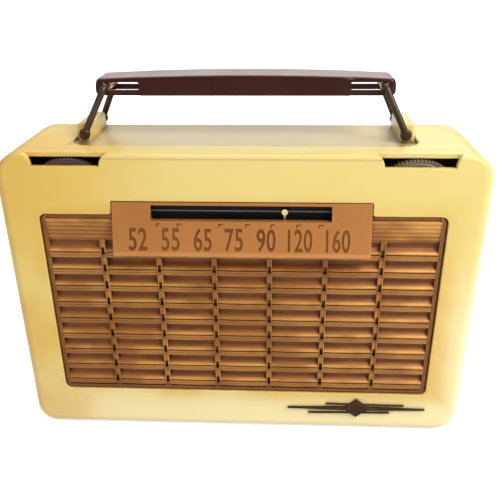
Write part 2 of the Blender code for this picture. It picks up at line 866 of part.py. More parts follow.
def build_volume():
    """The volume wheel on its shaft, and the can of the control that the shaft enters."""
    maroon = finish("volume_plastic", (0.16, 0.06, 0.05), 0.4)
    steel = finish("shaft_steel", (0.5, 0.5, 0.5), 0.35, 1.0)
    zinc = finish("control_can", (0.6, 0.6, 0.58), 0.45, 0.9)
    thumbwheel("volume_wheel", -1, maroon)
    reach = FLANGE_DEPTH + SHELF_T + CONTROL_GRIP - WHEEL_DEPTH
    rod("volume_shaft", (-WHEEL_X, deep(WHEEL_DEPTH), up(WHEEL_Z)), reach, SHAFT_R, "Y", 16, steel)
    back = FLANGE_DEPTH + SHELF_T + TOUCH_GAP
    can = rod("volume_control", (-WHEEL_X, deep(back), up(WHEEL_Z)), CONTROL_L, CONTROL_R, "Y", 24, zinc)
    start = (-WHEEL_X, deep(back - WALL), up(WHEEL_Z))
    cut(can, rod("bore", start, WALL + CONTROL_GRIP + TOUCH_GAP, SHAFT_R + TOUCH_GAP, "Y", 16))


def build_tuning():
    """The tuning wheel, its shaft with the cord hub, and the capacitor that the cord turns."""
    grey = finish("tuning_plastic", (0.3, 0.24, 0.17), 0.4)
    steel = finish("tuning_steel", (0.5, 0.5, 0.5), 0.35, 1.0)
    white = finish("drum_nylon", (0.75, 0.72, 0.62), 0.5)
    zinc = finish("capacitor_zinc", (0.62, 0.61, 0.58), 0.45, 0.9)
    alloy = finish("plate_alloy", (0.78, 0.78, 0.77), 0.3, 1.0)
    thumbwheel("tuning_wheel", 1, grey)
    reach = FLANGE_DEPTH + SHELF_T + CONTROL_GRIP - WHEEL_DEPTH
    hub_start = DRUM_DEPTH - WHEEL_DEPTH
    profile = [
        (0, 0),
        (SHAFT_R, 0),
        (SHAFT_R, hub_start),
        *grooved(HUB_R, hub_start),
        (SHAFT_R, hub_start + DRUM_T),
        (SHAFT_R, reach),
        (0, reach),
    ]
    turned("tuning_shaft", profile, (WHEEL_X, deep(WHEEL_DEPTH), up(WHEEL_Z)), "Y", 18, steel)
    profile = [(SHAFT_R + TOUCH_GAP, 0), *grooved(DRUM_R, 0), (SHAFT_R + TOUCH_GAP, DRUM_T)]
    turned("cord_drum", profile, (DRUM_X, deep(DRUM_DEPTH), up(DRUM_Z)), "Y", 28, white)
    build_capacitor(zinc, alloy)


def grooved(radius, start):
    """The rim of a cord wheel: two cheeks with a groove between them."""
    middle = start + DRUM_T / 2
    return [
        (radius + CHEEK, start),
        (radius + CHEEK, start + CHEEK),
        (radius, middle - CHEEK),
        (radius, middle + CHEEK),
        (radius + CHEEK, start + DRUM_T - CHEEK),
        (radius + CHEEK, start + DRUM_T),
    ]


def rest_turn():
    """How far, in degrees, the drum stands from its fully meshed end with the pointer at rest."""
    travel = math.pi * (DRUM_R + CORD_R + TOUCH_GAP)
    return 180 * (POINTER_X / travel + 0.5)


def half_disc(radius, steps=12):
    """A half disc on the drum's axis, turned clockwise from its meshed place below the axis."""
    points = []
    for i in range(steps + 1):
        angle = math.radians(180 - rest_turn() + 180 * i / steps)
        points.append((DRUM_X + radius * math.cos(angle), DRUM_Z + radius * math.sin(angle)))
    return points


def build_capacitor(zinc, alloy):
    """A gang of plates on the drum's shaft, turning between fixed plates in an open frame."""
    front, back = CAPACITOR_FRONT, CAPACITOR_BACK
    low, high = DRUM_Z - CAPACITOR_DROP, DRUM_Z + CAPACITOR_RISE
    frame = box(
        "capacitor_frame",
        (DRUM_X - CAPACITOR_HALF, deep(front), up(low)),
        (DRUM_X + CAPACITOR_HALF, deep(back), up(high)),
        zinc,
    )
    inside = box(
        "inside",
        (DRUM_X - 2 * CAPACITOR_HALF, deep(front + FRAME_T), up(low + FRAME_T)),
        (DRUM_X + 2 * CAPACITOR_HALF, deep(back - FRAME_T), up(high + FRAME_T)),
    )
    bore_start = (DRUM_X, deep(front - FRAME_T), up(DRUM_Z))
    cut(frame, inside, rod("bore", bore_start, back - front, SHAFT_R + TOUCH_GAP, "Y", 16))
    shaft_start = (DRUM_X, deep(DRUM_DEPTH), up(DRUM_Z))
    shaft_length = back - FRAME_T - TOUCH_GAP - DRUM_DEPTH
    shaft = rod("rotor_plates", shaft_start, shaft_length, SHAFT_R, "Y", 16, alloy)
    pitch = (back - front - 4 * FRAME_T) / GANG_PLATES
    first = front + 2 * FRAME_T
    plates = []
    for index in range(GANG_PLATES):
        depth = first + index * pitch
        plates.append(prism("plate", raised(half_disc(ROTOR_R)), "Y", deep(depth), deep(depth + PLATE_T)))
    join(shaft, *plates)
    bar_top = DRUM_Z - ROTOR_R - 2 * TOUCH_GAP
    bar_low = low + FRAME_T + TOUCH_GAP
    bar = box(
        "stator_plates",
        (DRUM_X - STATOR_HALF, deep(front + FRAME_T + TOUCH_GAP), up(bar_low)),
        (DRUM_X + STATOR_HALF, deep(back - FRAME_T - TOUCH_GAP), up(bar_top)),
        alloy,
    )
    fixed = []
    for index in range(GANG_PLATES - 1):
        depth = first + (index + 0.5) * pitch
        fixed.append(
            box(
                "fixed",
                (DRUM_X - STATOR_HALF, deep(depth), up(bar_low)),
                (DRUM_X + STATOR_HALF, deep(depth + PLATE_T), up(DRUM_Z - SHAFT_R - 2 * TOUCH_GAP)),
            )
        )
    join(bar, *fixed)


def arc(centre, radius, first, last, depths, steps=10):
    """Points round an arc in the XZ plane, with the depth running from one value to another."""
    points = []
    for i in range(steps + 1):
        share = i / steps
        angle = math.radians(first + (last - first) * share)
        depth = depths[0] + (depths[1] - depths[0]) * share
        x, height = centre[0] + radius * math.cos(angle), centre[1] + radius * math.sin(angle)
        points.append((x, deep(depth), up(height)))
    return points


def tangent(first, second, radii, turn, crossed=False):
    """The angle, in degrees, at which a straight run leaves the first of two circles.

    turn is 1 or -1 for the two sides, and a crossed run passes between the circles.
    """
    reach = math.dist(first, second)
    toward = math.atan2(second[1] - first[1], second[0] - first[0])
    across = radii[0] + radii[1] if crossed else radii[0] - radii[1]
    return math.degrees(toward + turn * math.acos(across / reach)) % 360


def build_cord():
    """The dial cord: over the hub, round the drum, and back along the pointer's rail."""
    thread = finish("cord_thread", (0.5, 0.42, 0.28), 0.8)
    steel = finish("post_brass", (0.6, 0.47, 0.22), 0.35, 1.0)
    groove = DRUM_DEPTH + DRUM_T / 2
    hub, drum = (WHEEL_X, WHEEL_Z), (DRUM_X, DRUM_Z)
    left, right = (POST_LEFT_X, POST_Z), (POST_RIGHT_X, POST_Z)
    clear = CORD_R + TOUCH_GAP
    hub_r, drum_r, post_r = HUB_R + clear, DRUM_R + clear, POST_R + clear
    below = tangent(hub, drum, (hub_r, drum_r), 1) - 360
    above = tangent(drum, left, (drum_r, post_r), -1)
    rise = tangent(right, hub, (post_r, hub_r), -1, crossed=True)
    points = arc(hub, hub_r, rise + 180, below, (groove, groove), 20)
    points += arc(drum, drum_r, below, above - 360, (groove, groove), 18)
    points += arc(left, post_r, above, 270, (groove, CORD_RUN_DEPTH), 8)
    points += arc(right, post_r, -90, rise, (CORD_RUN_DEPTH, groove), 6)
    line = bpy.data.curves.new("dial_cord", "CURVE")
    line.dimensions = "3D"
    line.bevel_depth = CORD_R
    line.bevel_resolution = 1
    spline = line.splines.new("POLY")
    spline.points.add(len(points) - 1)
    for point, place in zip(spline.points, points):
        point.co = (*place, 1)
    spline.use_cyclic_u = True
    line.materials.append(thread)
    bpy.context.scene.collection.objects.link(bpy.data.objects.new("dial_cord", line))
    for name, x in (("cord_post_left", POST_LEFT_X), ("cord_post_right", POST_RIGHT_X)):
        length = FLANGE_DEPTH - CORD_RUN_DEPTH + POST_HEAD - TOUCH_GAP
        rod(name, (x, deep(CORD_RUN_DEPTH - POST_HEAD), up(POST_Z)), length, POST_R, "Y", 16, steel)


# ---------------------------------------------------------------- chassis and electrics


def build_chassis():
    """A bent steel sheet: a shelf for the valves, and a flange that carries the controls."""
    steel = finish("chassis_steel", (0.55, 0.55, 0.53), 0.42, 1.0)
    half = CHASSIS_HALF
    corner = (-half, deep(FLANGE_DEPTH), up(SHELF_Z))
    shelf = box("chassis", corner, (half, deep(SHELF_BACK), up(SHELF_Z + SHELF_T)), steel)
    flange = box("flange", corner, (half, deep(FLANGE_DEPTH + SHELF_T), up(FLANGE_TOP)))
    join(shelf, flange)
    holes = []
    for x, z in ((-WHEEL_X, WHEEL_Z), (WHEEL_X, WHEEL_Z), (DRUM_X, DRUM_Z)):
        start = (x, deep(FLANGE_DEPTH - SHELF_T), up(z))
        holes.append(rod("hole", start, 3 * SHELF_T, SHAFT_R + TOUCH_GAP, "Y", 16))
    for x, y in valve_places():
        start = (x, y, up(SHELF_Z - SHELF_T))
        holes.append(rod("valve_hole", start, 3 * SHELF_T, SOCKET_R - SOCKET_RIM, "Z", 20))
    cut(shelf, *holes)


def valve_places():
    """The middles of the four valve sockets, as (x, y)."""
    return [(x, deep(depth)) for x, depth in zip(VALVE_X, VALVE_DEPTHS)]


def build_valves():
    """Four valves with pinched glass tops, each in a socket set into the shelf."""
    glass = finish("valve_glass", (0.25, 0.25, 0.27), 0.1)
    ceramic = finish("socket_brown", (0.2, 0.1, 0.05), 0.5)
    shelf = up(SHELF_Z + SHELF_T)
    for index, (x, y) in enumerate(valve_places(), 1):
        body = SOCKET_R - SOCKET_RIM - TOUCH_GAP
        profile = [
            (0, -SOCKET_DROP),
            (body, -SOCKET_DROP),
            (body, TOUCH_GAP),
            (SOCKET_R, TOUCH_GAP),
            (SOCKET_R, TOUCH_GAP + SOCKET_H),
            (0, TOUCH_GAP + SOCKET_H),
        ]
        turned(f"valve_socket_{index}", profile, (x, y, shelf), "Z", 14, ceramic)
        start = SOCKET_H + 2 * TOUCH_GAP
        profile = [
            (0, start),
            (VALVE_R, start),
            *((VALVE_R * wide, start + VALVE_H * tall) for wide, tall in VALVE_SHOULDER),
            (0, start + VALVE_H),
        ]
        turned(f"valve_{index}", profile, (x, y, shelf), "Z", 14, glass)


def build_shelf_parts():
    """The cans, the transformer and the filter capacitor that stand on the shelf."""
    aluminium = finish("can_aluminium", (0.75, 0.75, 0.74), 0.35, 1.0)
    iron = finish("core_iron", (0.16, 0.15, 0.14), 0.6, 0.5)
    card = finish("capacitor_card", (0.66, 0.55, 0.33), 0.7)
    shelf = up(SHELF_Z + SHELF_T + TOUCH_GAP)
    for index, x in enumerate(CAN_X, 1):
        half = CAN_HALF
        corner = (x - half, deep(CAN_DEPTH) - half, shelf)
        can = box(f"if_can_{index}", corner, (x + half, deep(CAN_DEPTH) + half, shelf + CAN_H), aluminium)
        bevel(can, CAN_EDGE)
    middle = deep(TRANSFORMER_DEPTH)
    core_low = (TRANSFORMER_X - TRANSFORMER_HALF, middle - TRANSFORMER_THICK, shelf)
    core_high = (TRANSFORMER_X + TRANSFORMER_HALF, middle + TRANSFORMER_THICK, shelf + TRANSFORMER_H)
    core = box("output_transformer", core_low, core_high, iron)
    bevel(core, TRANSFORMER_EDGE)
    centre = (FILTER_X, deep(FILTER_DEPTH), shelf)
    rod("filter_capacitor", centre, FILTER_H, FILTER_R, "Z", 18, card)


def bevel(thing, width):
    """Softens a box's edges."""
    step = thing.modifiers.new("edges", "BEVEL")
    step.width = width
    step.segments = 2
    step.limit_method = "ANGLE"


def build_speaker():
    """A paper cone in a pressed basket, with its magnet, behind a baffle and its cloth."""
    steel = finish("basket_steel", (0.3, 0.31, 0.3), 0.5, 0.8)
    paper = finish("cone_paper", (0.09, 0.08, 0.07), 0.9)
    iron = finish("magnet_iron", (0.2, 0.2, 0.2), 0.4, 0.8)
    board = finish("baffle_board", (0.35, 0.22, 0.12), 0.8)
    cloth = finish("speaker_cloth", (0.25, 0.14, 0.07), 0.9)
    half = GRILLE_HALF * narrowed(0)
    low = GRILLE_LOW - FLANGE_OVER
    corner = (-half, deep(BAFFLE_DEPTH), up(low))
    far_corner = (half, deep(BAFFLE_DEPTH + BAFFLE_T), up(SHELF_Z - SHELF_T))
    baffle = box("speaker_baffle", corner, far_corner, board)
    hole_start = (0, deep(BAFFLE_DEPTH - BAFFLE_T), up(SPEAKER_Z))
    cut(baffle, rod("hole", hole_start, 3 * BAFFLE_T, SPEAKER_R - BASKET_RIM, "Y", 26))
    cloth_front = (-half, deep(BAFFLE_DEPTH - TOUCH_GAP - CLOTH_T), up(low))
    box("speaker_cloth", cloth_front, (half, deep(BAFFLE_DEPTH - TOUCH_GAP), up(SHELF_Z)), cloth)
    start = BAFFLE_DEPTH + BAFFLE_T + TOUCH_GAP
    place = (0, deep(start), up(SPEAKER_Z))
    inner, t = SPEAKER_R - BASKET_RIM, BASKET_T
    profile = [
        (inner, 0),
        (SPEAKER_R, 0),
        (SPEAKER_R, t),
        (inner + t, t),
        (MAGNET_R + 2 * t, BASKET_DEPTH - t),
        (MAGNET_R + 2 * t, BASKET_DEPTH),
        (VOICE_R + t, BASKET_DEPTH),
        (VOICE_R + t, BASKET_DEPTH - t),
        (MAGNET_R + t, BASKET_DEPTH - t),
    ]
    turned("speaker_basket", profile, place, "Y", 26, steel)
    clear = 2 * TOUCH_GAP
    slope = (inner - MAGNET_R - t) / (BASKET_DEPTH - t)
    lip = inner - slope * (CONE_LIP + CLOTH_T) - clear
    profile = [
        (lip, CONE_LIP),
        (lip, CONE_LIP + CLOTH_T),
        (VOICE_R - clear + CLOTH_T, BASKET_DEPTH - 3 * t),
        (VOICE_R - clear, BASKET_DEPTH - 3 * t),
        (0, BASKET_DEPTH - 5 * t),
        (0, BASKET_DEPTH - 6 * t),
        (VOICE_R - clear, BASKET_DEPTH - 4 * t),
    ]
    turned("speaker_cone", profile, place, "Y", 26, paper)
    back = start + BASKET_DEPTH + TOUCH_GAP
    rod("speaker_magnet", (0, deep(back), up(SPEAKER_Z)), MAGNET_L, MAGNET_R, "Y", 20, iron)


def build_batteries():
    """The high-tension battery, the two lamp cells, and the clip that holds them."""
    red = finish("battery_card", (0.3, 0.09, 0.06), 0.6)
    zinc = finish("cell_zinc", (0.5, 0.5, 0.48), 0.45, 0.8)
    spring = finish("clip_steel", (0.55, 0.55, 0.52), 0.35, 1.0)
    floor = up(WALL + TOUCH_GAP)
    pack = box(
        "b_battery",
        (BATTERY_X - BATTERY_HALF, deep(BATTERY_DEPTH) - BATTERY_THICK, floor),
        (BATTERY_X + BATTERY_HALF, deep(BATTERY_DEPTH) + BATTERY_THICK, floor + BATTERY_H),
        red,
    )
    bevel(pack, BATTERY_EDGE)
    for index, x in enumerate(CELL_X, 1):
        top = CELL_H + CELL_TIP
        profile = [(0, 0), (CELL_R, 0), (CELL_R, CELL_H), (CELL_TIP_R, CELL_H), (CELL_TIP_R, top), (0, top)]
        base = (x, deep(BATTERY_DEPTH), floor + CLIP_T + TOUCH_GAP)
        turned(f"a_cell_{index}", profile, base, "Z", 20, zinc)
    left, right = CELL_X[0] - CELL_R - TOUCH_GAP, CELL_X[1] + CELL_R + TOUCH_GAP
    near, far = deep(BATTERY_DEPTH) - CLIP_W, deep(BATTERY_DEPTH) + CLIP_W
    outline = [
        (left - CLIP_T, floor),
        (right + CLIP_T, floor),
        (right + CLIP_T, floor + CLIP_H),
        (right, floor + CLIP_H),
        (right, floor + CLIP_T),
        (left, floor + CLIP_T),
        (left, floor + CLIP_H),
        (left - CLIP_T, floor + CLIP_H),
    ]
    prism("battery_clip", outline, "Y", near, far, spring)


def build_aerial():
    """A flat loop of wire on a card frame, fixed inside the back door."""
    litz = finish("aerial_litz", (0.42, 0.2, 0.08), 0.6)
    inner_y = deep(CASE_D - DOOR_T - TOUCH_GAP)
    low, high = up(AERIAL_LOW), up(AERIAL_HIGH)
    loop = box("loop_aerial", (-AERIAL_HALF, inner_y - AERIAL_T, low), (AERIAL_HALF, inner_y, high), litz)
    hole = box(
        "hole",
        (-AERIAL_HALF + AERIAL_W, inner_y - 2 * AERIAL_T, low + AERIAL_W),
        (AERIAL_HALF - AERIAL_W, inner_y + AERIAL_T, high - AERIAL_W),
    )
    cut(loop, hole)
    hang_on(loop, (0, door_axis_y(), up(DOOR_LOW)))


# ---------------------------------------------------------------- handle


def arched(half, low, end_top, rise, corner, steps=16):
    """A long outline with an arched top and rounded ends, as (x, z)."""
    reach = half - corner
    top = []
    for i in range(steps + 1):
        x = reach - 2 * reach * i / steps
        top.append((x, end_top + rise * (1 - (x / half) ** 2)))
    under, over = low + corner, top[0][1] - corner
    points = quarter((reach, under), corner, -90)
    points += quarter((reach, over), corner, 0)[:-1]
    points += top
    points += quarter((-reach, over), corner, 90)[1:]
    points += quarter((-reach, under), corner, 180)
    return points


def quarter(centre, radius, first, steps=4):
    """A quarter circle as points, from an angle in degrees."""
    points = []
    for i in range(steps + 1):
        angle = math.radians(first + 90 * i / steps)
        points.append((centre[0] + radius * math.cos(angle), centre[1] + radius * math.sin(angle)))
    return points


def build_handle():
    """A moulded channel, open below, with a slot through both flanges near each end."""
    maroon = finish("handle_plastic", (0.07, 0.02, 0.018), 0.25)
    near, far = deep(HANDLE_Y - HANDLE_W / 2), deep(HANDLE_Y + HANDLE_W / 2)
    outline = raised(arched(HANDLE_HALF, HANDLE_LOW, HANDLE_END_TOP, HANDLE_RISE, HANDLE_CORNER))
    body = prism("handle", outline, "Y", near, far, maroon)
    inside = raised(
        arched(
            HANDLE_HALF - HANDLE_END_WALL,
            HANDLE_LOW - HANDLE_WEB * 4,
            HANDLE_END_TOP - HANDLE_WEB,
            HANDLE_RISE,
            HANDLE_CORNER / 2,
        )
    )
    hollow = prism("hollow", inside, "Y", near + HANDLE_FLANGE, far - HANDLE_FLANGE)
    slots = []
    slot_half = WIRE_R + TOUCH_GAP
    outer = CROSS_X + slot_half
    inner = CROSS_X - fold_travel() - slot_half
    for side in (1, -1):
        low, high = sorted((side * inner, side * outer))
        corner = (low, near - HANDLE_FLANGE, up(CROSS_Z - slot_half))
        slots.append(box("slot", corner, (high, far + HANDLE_FLANGE, up(CROSS_Z + slot_half))))
    cut(body, hollow, *slots)
    hang_on(body, (-CROSS_X, deep(HANDLE_Y), up(CROSS_Z)))


def bend(corner, before, after, radius, steps=5):
    """Points round a bend that joins the lines before-corner and corner-after."""
    corner, before, after = Vector(corner), Vector(before), Vector(after)
    first = (before - corner).normalized()
    second = (after - corner).normalized()
    half_angle = first.angle(second) / 2
    start = corner + first * (radius / math.tan(half_angle))
    end = corner + second * (radius / math.tan(half_angle))
    centre = corner + (first + second).normalized() * (radius / math.sin(half_angle))
    turn = (start - centre).angle(end - centre)
    points = []
    for i in range(steps + 1):
        share = i / steps
        a = math.sin((1 - share) * turn) / math.sin(turn)
        b = math.sin(share * turn) / math.sin(turn)
        points.append(centre + (start - centre) * a + (end - centre) * b)
    return points


def wire(name, points, radius, material, sides=12):
    """A round wire along points, with flat ends."""
    line = bpy.data.curves.new(name, "CURVE")
    line.dimensions = "3D"
    line.bevel_depth = radius
    line.bevel_resolution = sides // 4 - 1
    line.use_fill_caps = True
    spline = line.splines.new("POLY")
    spline.points.add(len(points) - 1)
    for point, place in zip(spline.points, points):
        point.co = (*place, 1)
    line.materials.append(material)
    thing = bpy.data.objects.new(name, line)
    bpy.context.scene.collection.objects.link(thing)
    return thing


def build_bail(name, side, steel):
    """A U of wire whose ends turn into the tower's bores; its origin is on that axis."""
    pivot = Vector((side * PIVOT_X, deep(HANDLE_Y), up(PIVOT_Z)))
    cross_x, cross_z = side * CROSS_X, up(CROSS_Z)
    grip = HANDLE_Y - BORE_END + TOUCH_GAP * 3
    corners = []
    for facing in (-1, 1):
        foot_y = deep(HANDLE_Y + facing * LEG_FOOT_HALF)
        head_y = deep(HANDLE_Y + facing * LEG_HEAD_HALF)
        inner_y = deep(HANDLE_Y + facing * grip)
        leg = [(pivot.x, inner_y, pivot.z), (pivot.x, foot_y, pivot.z), (cross_x, head_y, cross_z)]
        corners += leg if facing < 0 else reversed(leg)
    points = [Vector(corners[0])]
    for before, corner, after in zip(corners, corners[1:], corners[2:]):
        points += bend(corner, before, after, BEND_R)
    points.append(Vector(corners[-1]))
    thing = wire(name, [point - pivot for point in points], WIRE_R, steel)
    thing.location = pivot
    return thing


def build_carrier():
    """The two bails, and the sleeves that turn on their crossbars inside the handle."""
    steel = finish("bail_steel", (0.13, 0.09, 0.065), 0.4, 0.7)
    brass = finish("sleeve_brass", (0.55, 0.42, 0.2), 0.4, 1.0)
    for name, sleeve_name, side in (("bail_left", "sleeve_left", -1), ("bail_right", "sleeve_right", 1)):
        build_bail(name, side, steel)
        half = HANDLE_W / 2 - HANDLE_FLANGE - TOUCH_GAP * 2
        bore = WIRE_R + SLEEVE_CLEARANCE
        profile = [(bore, 0), (SLEEVE_R, 0), (SLEEVE_R, 2 * half), (bore, 2 * half)]
        turned(sleeve_name, profile, (side * CROSS_X, deep(HANDLE_Y) - half, up(CROSS_Z)), "Y", 16, brass)


def main():
    """Builds the radio from the case inwards, and the handle last."""
    clear_scene()
    build_case()
    build_badge()
    build_grille()
    build_dial()
    build_pointer()
    build_volume()
    build_tuning()
    build_cord()
    build_chassis()
    build_valves()
    build_shelf_parts()
    build_speaker()
    build_batteries()
    build_aerial()
    build_handle()
    build_carrier()


main()
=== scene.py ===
"""The looks of a portable valve radio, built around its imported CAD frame.

Metres, +Z up. X runs along the dial and the face looks towards -Y. Depths are
measured into the case from its face plane and heights from its underside, both read
from the frame. Every new piece is a surface worked out as whole arrays: rings of
points carried along a path, or a height given over a grid.
"""

import json
import logging
import math
from dataclasses import dataclass, field
from enum import Enum

import bmesh
import bpy
import numpy as np
from mathutils import Euler, Matrix, Vector
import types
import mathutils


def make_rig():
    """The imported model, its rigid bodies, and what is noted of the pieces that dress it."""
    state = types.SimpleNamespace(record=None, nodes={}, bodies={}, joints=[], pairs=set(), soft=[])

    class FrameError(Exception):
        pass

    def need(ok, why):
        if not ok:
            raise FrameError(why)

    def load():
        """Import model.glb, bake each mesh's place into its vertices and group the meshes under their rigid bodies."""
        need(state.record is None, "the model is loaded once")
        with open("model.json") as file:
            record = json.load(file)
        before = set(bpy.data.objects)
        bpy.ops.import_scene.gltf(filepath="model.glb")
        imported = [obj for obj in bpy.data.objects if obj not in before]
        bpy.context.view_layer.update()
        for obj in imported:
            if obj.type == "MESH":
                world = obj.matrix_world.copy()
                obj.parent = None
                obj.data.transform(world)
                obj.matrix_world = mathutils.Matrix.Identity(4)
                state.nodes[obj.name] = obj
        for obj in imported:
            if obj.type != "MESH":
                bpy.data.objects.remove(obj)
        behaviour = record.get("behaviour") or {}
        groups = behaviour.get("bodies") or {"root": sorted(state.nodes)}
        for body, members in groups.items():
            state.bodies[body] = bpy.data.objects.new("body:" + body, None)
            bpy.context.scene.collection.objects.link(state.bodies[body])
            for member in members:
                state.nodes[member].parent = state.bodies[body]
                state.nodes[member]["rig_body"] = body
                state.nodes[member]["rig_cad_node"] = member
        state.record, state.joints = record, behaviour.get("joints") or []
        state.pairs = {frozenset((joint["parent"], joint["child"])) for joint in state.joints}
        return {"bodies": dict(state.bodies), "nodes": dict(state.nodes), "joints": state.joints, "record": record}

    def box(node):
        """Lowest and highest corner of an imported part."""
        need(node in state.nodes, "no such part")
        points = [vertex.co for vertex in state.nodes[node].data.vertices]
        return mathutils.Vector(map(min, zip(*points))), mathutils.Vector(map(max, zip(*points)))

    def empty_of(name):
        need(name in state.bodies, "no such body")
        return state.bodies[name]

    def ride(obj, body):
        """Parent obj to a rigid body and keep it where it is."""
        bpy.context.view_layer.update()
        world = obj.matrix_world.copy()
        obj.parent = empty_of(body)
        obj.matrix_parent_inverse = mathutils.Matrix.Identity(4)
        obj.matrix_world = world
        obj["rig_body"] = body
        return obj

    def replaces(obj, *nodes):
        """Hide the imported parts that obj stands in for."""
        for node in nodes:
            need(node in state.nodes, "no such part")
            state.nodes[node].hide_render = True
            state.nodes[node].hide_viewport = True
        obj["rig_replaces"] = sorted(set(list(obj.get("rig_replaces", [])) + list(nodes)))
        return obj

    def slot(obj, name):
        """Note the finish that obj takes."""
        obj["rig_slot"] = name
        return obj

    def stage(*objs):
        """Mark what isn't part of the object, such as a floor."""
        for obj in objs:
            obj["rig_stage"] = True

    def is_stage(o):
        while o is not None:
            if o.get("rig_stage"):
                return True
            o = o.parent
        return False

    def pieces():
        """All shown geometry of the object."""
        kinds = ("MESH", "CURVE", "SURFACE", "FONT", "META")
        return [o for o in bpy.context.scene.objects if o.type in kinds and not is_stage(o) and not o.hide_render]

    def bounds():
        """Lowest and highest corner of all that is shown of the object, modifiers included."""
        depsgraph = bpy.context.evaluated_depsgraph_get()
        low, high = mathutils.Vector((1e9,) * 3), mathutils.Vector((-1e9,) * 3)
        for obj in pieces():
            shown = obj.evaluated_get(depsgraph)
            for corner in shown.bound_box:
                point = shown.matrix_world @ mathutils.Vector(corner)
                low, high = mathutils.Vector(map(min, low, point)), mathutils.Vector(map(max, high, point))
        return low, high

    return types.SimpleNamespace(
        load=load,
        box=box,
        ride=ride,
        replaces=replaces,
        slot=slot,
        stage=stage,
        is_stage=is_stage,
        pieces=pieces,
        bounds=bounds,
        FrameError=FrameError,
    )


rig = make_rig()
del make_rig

LOG = logging.getLogger("radio")
SIZE_FILE = "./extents.json"
Array = np.ndarray
Colour = tuple[float, float, float]
Place = tuple[float, float, float]
Mesh = bpy.types.Mesh
Thing = bpy.types.Object
Node = bpy.types.Node
Socket = bpy.types.NodeSocket
GAP = 0.0003
PAST_FACE = 0.003


class Axis(Enum):
    """The axis that a turned or carried shape runs along, as an order of coordinates."""

    X = (2, 0, 1)
    Y = (0, 2, 1)
    Z = (0, 1, 2)

    def place(self, points: Array) -> Array:
        """Turns (across, across, along) points into (x, y, z) points."""
        return points[..., list(self.value)]


# ------------------------------------------------------------------ frame and meshes


@dataclass(frozen=True)
class Datum:
    """The planes of the case that the CAD frame gives."""

    face_y: float
    base_z: float
    width: float
    height: float
    depth: float
    taper: float = 0.03
    shoulder: float = 0.014

    @classmethod
    def from_frame(cls) -> "Datum":
        """Reads the planes from the boxes of the two shells.

        Returns:
            The planes.
        """
        front_low, front_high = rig.box("front_cabinet")
        _, rear_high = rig.box("rear_cabinet")
        height = front_high.z - front_low.z
        widest = 1 - cls.taper * cls.shoulder / height
        return cls(
            face_y=front_low.y,
            base_z=front_low.z,
            width=(front_high.x - front_low.x) / widest,
            height=height,
            depth=rear_high.y - front_low.y,
        )

    def deep(self, distance: Array | float) -> Array | float:
        """The Y of a point this far behind the face plane."""
        return self.face_y + distance

    def up(self, height: Array | float) -> Array | float:
        """The Z of a point this far above the case's underside."""
        return self.base_z + height

    def narrowed(self, height: Array | float) -> Array | float:
        """How much of the width is left at a height, which is less towards the base."""
        return 1 - self.taper * (1 - height / self.height)


@dataclass
class Skin:
    """Points and faces gathered for one mesh."""

    points: list[Array] = field(default_factory=list)
    faces: list[list[int]] = field(default_factory=list)
    count: int = 0

    def add(self, points: Array, faces: list[Array]) -> "Skin":
        """Adds points, and faces that count from the first of them.

        Args:
            points: An array whose last axis holds x, y and z.
            faces: Blocks of indices into those points, with one row for each face.

        Returns:
            This skin.
        """
        flat = points.reshape(-1, 3)
        for block in faces:
            self.faces.extend((block + self.count).tolist())
        self.points.append(flat)
        self.count += len(flat)
        return self

    def grid(self, places: Array, wrap_rows: bool = False, wrap_cols: bool = False) -> "Skin":
        """Adds a grid of points as quads: each point with its right, lower right and lower neighbours.

        Args:
            places: A (rows, columns, 3) array.
            wrap_rows: Whether the last row joins the first.
            wrap_cols: Whether the last column joins the first.

        Returns:
            This skin.
        """
        rows, cols = places.shape[:2]
        return self.add(places, [quads(rows, cols, wrap_rows, wrap_cols)])

    def stack(self, rings: Array) -> "Skin":
        """Adds closed rings one after another, with a face over the first and the last.

        Args:
            rings: A (rings, points, 3) array.

        Returns:
            This skin.
        """
        count, around = rings.shape[:2]
        first = np.arange(around)[None, ::-1]
        last = np.arange(around)[None, :] + (count - 1) * around
        return self.add(rings, [quads(count, around, False, True), first, last])

    def mesh(self, name: str) -> Mesh:
        """The mesh of all parts, with its faces turned outwards.

        Args:
            name: The mesh's name.

        Returns:
            The mesh.
        """
        made = bpy.data.meshes.new(name)
        made.from_pydata(np.vstack(self.points).tolist(), [], self.faces)
        face_out(made)
        return made


def quads(rows: int, cols: int, wrap_rows: bool, wrap_cols: bool) -> Array:
    """The index quads of a grid of points.

    Args:
        rows: How many rows of points there are.
        cols: How many points each row has.
        wrap_rows: Whether the last row joins the first.
        wrap_cols: Whether the last column joins the first.

    Returns:
        An (n, 4) array of indices.
    """
    i = np.arange(rows if wrap_rows else rows - 1)[:, None]
    j = np.arange(cols if wrap_cols else cols - 1)[None, :]
    below, right = (i + 1) % rows, (j + 1) % cols
    corners = [i * cols + j, i * cols + right, below * cols + right, below * cols + j]
    return np.stack([np.broadcast_to(c, (i.size, j.size)).ravel() for c in corners], 1)


def face_out(mesh: Mesh) -> None:
    """Merges doubled points and turns every closed shell's faces outwards.

    Args:
        mesh: The mesh, which is changed in place.
    """
    bm = bmesh.new()
    bm.from_mesh(mesh)
    bmesh.ops.remove_doubles(bm, verts=bm.verts, dist=1e-7)
    bmesh.ops.recalc_face_normals(bm, faces=bm.faces)
    bm.to_mesh(mesh)
    bm.free()


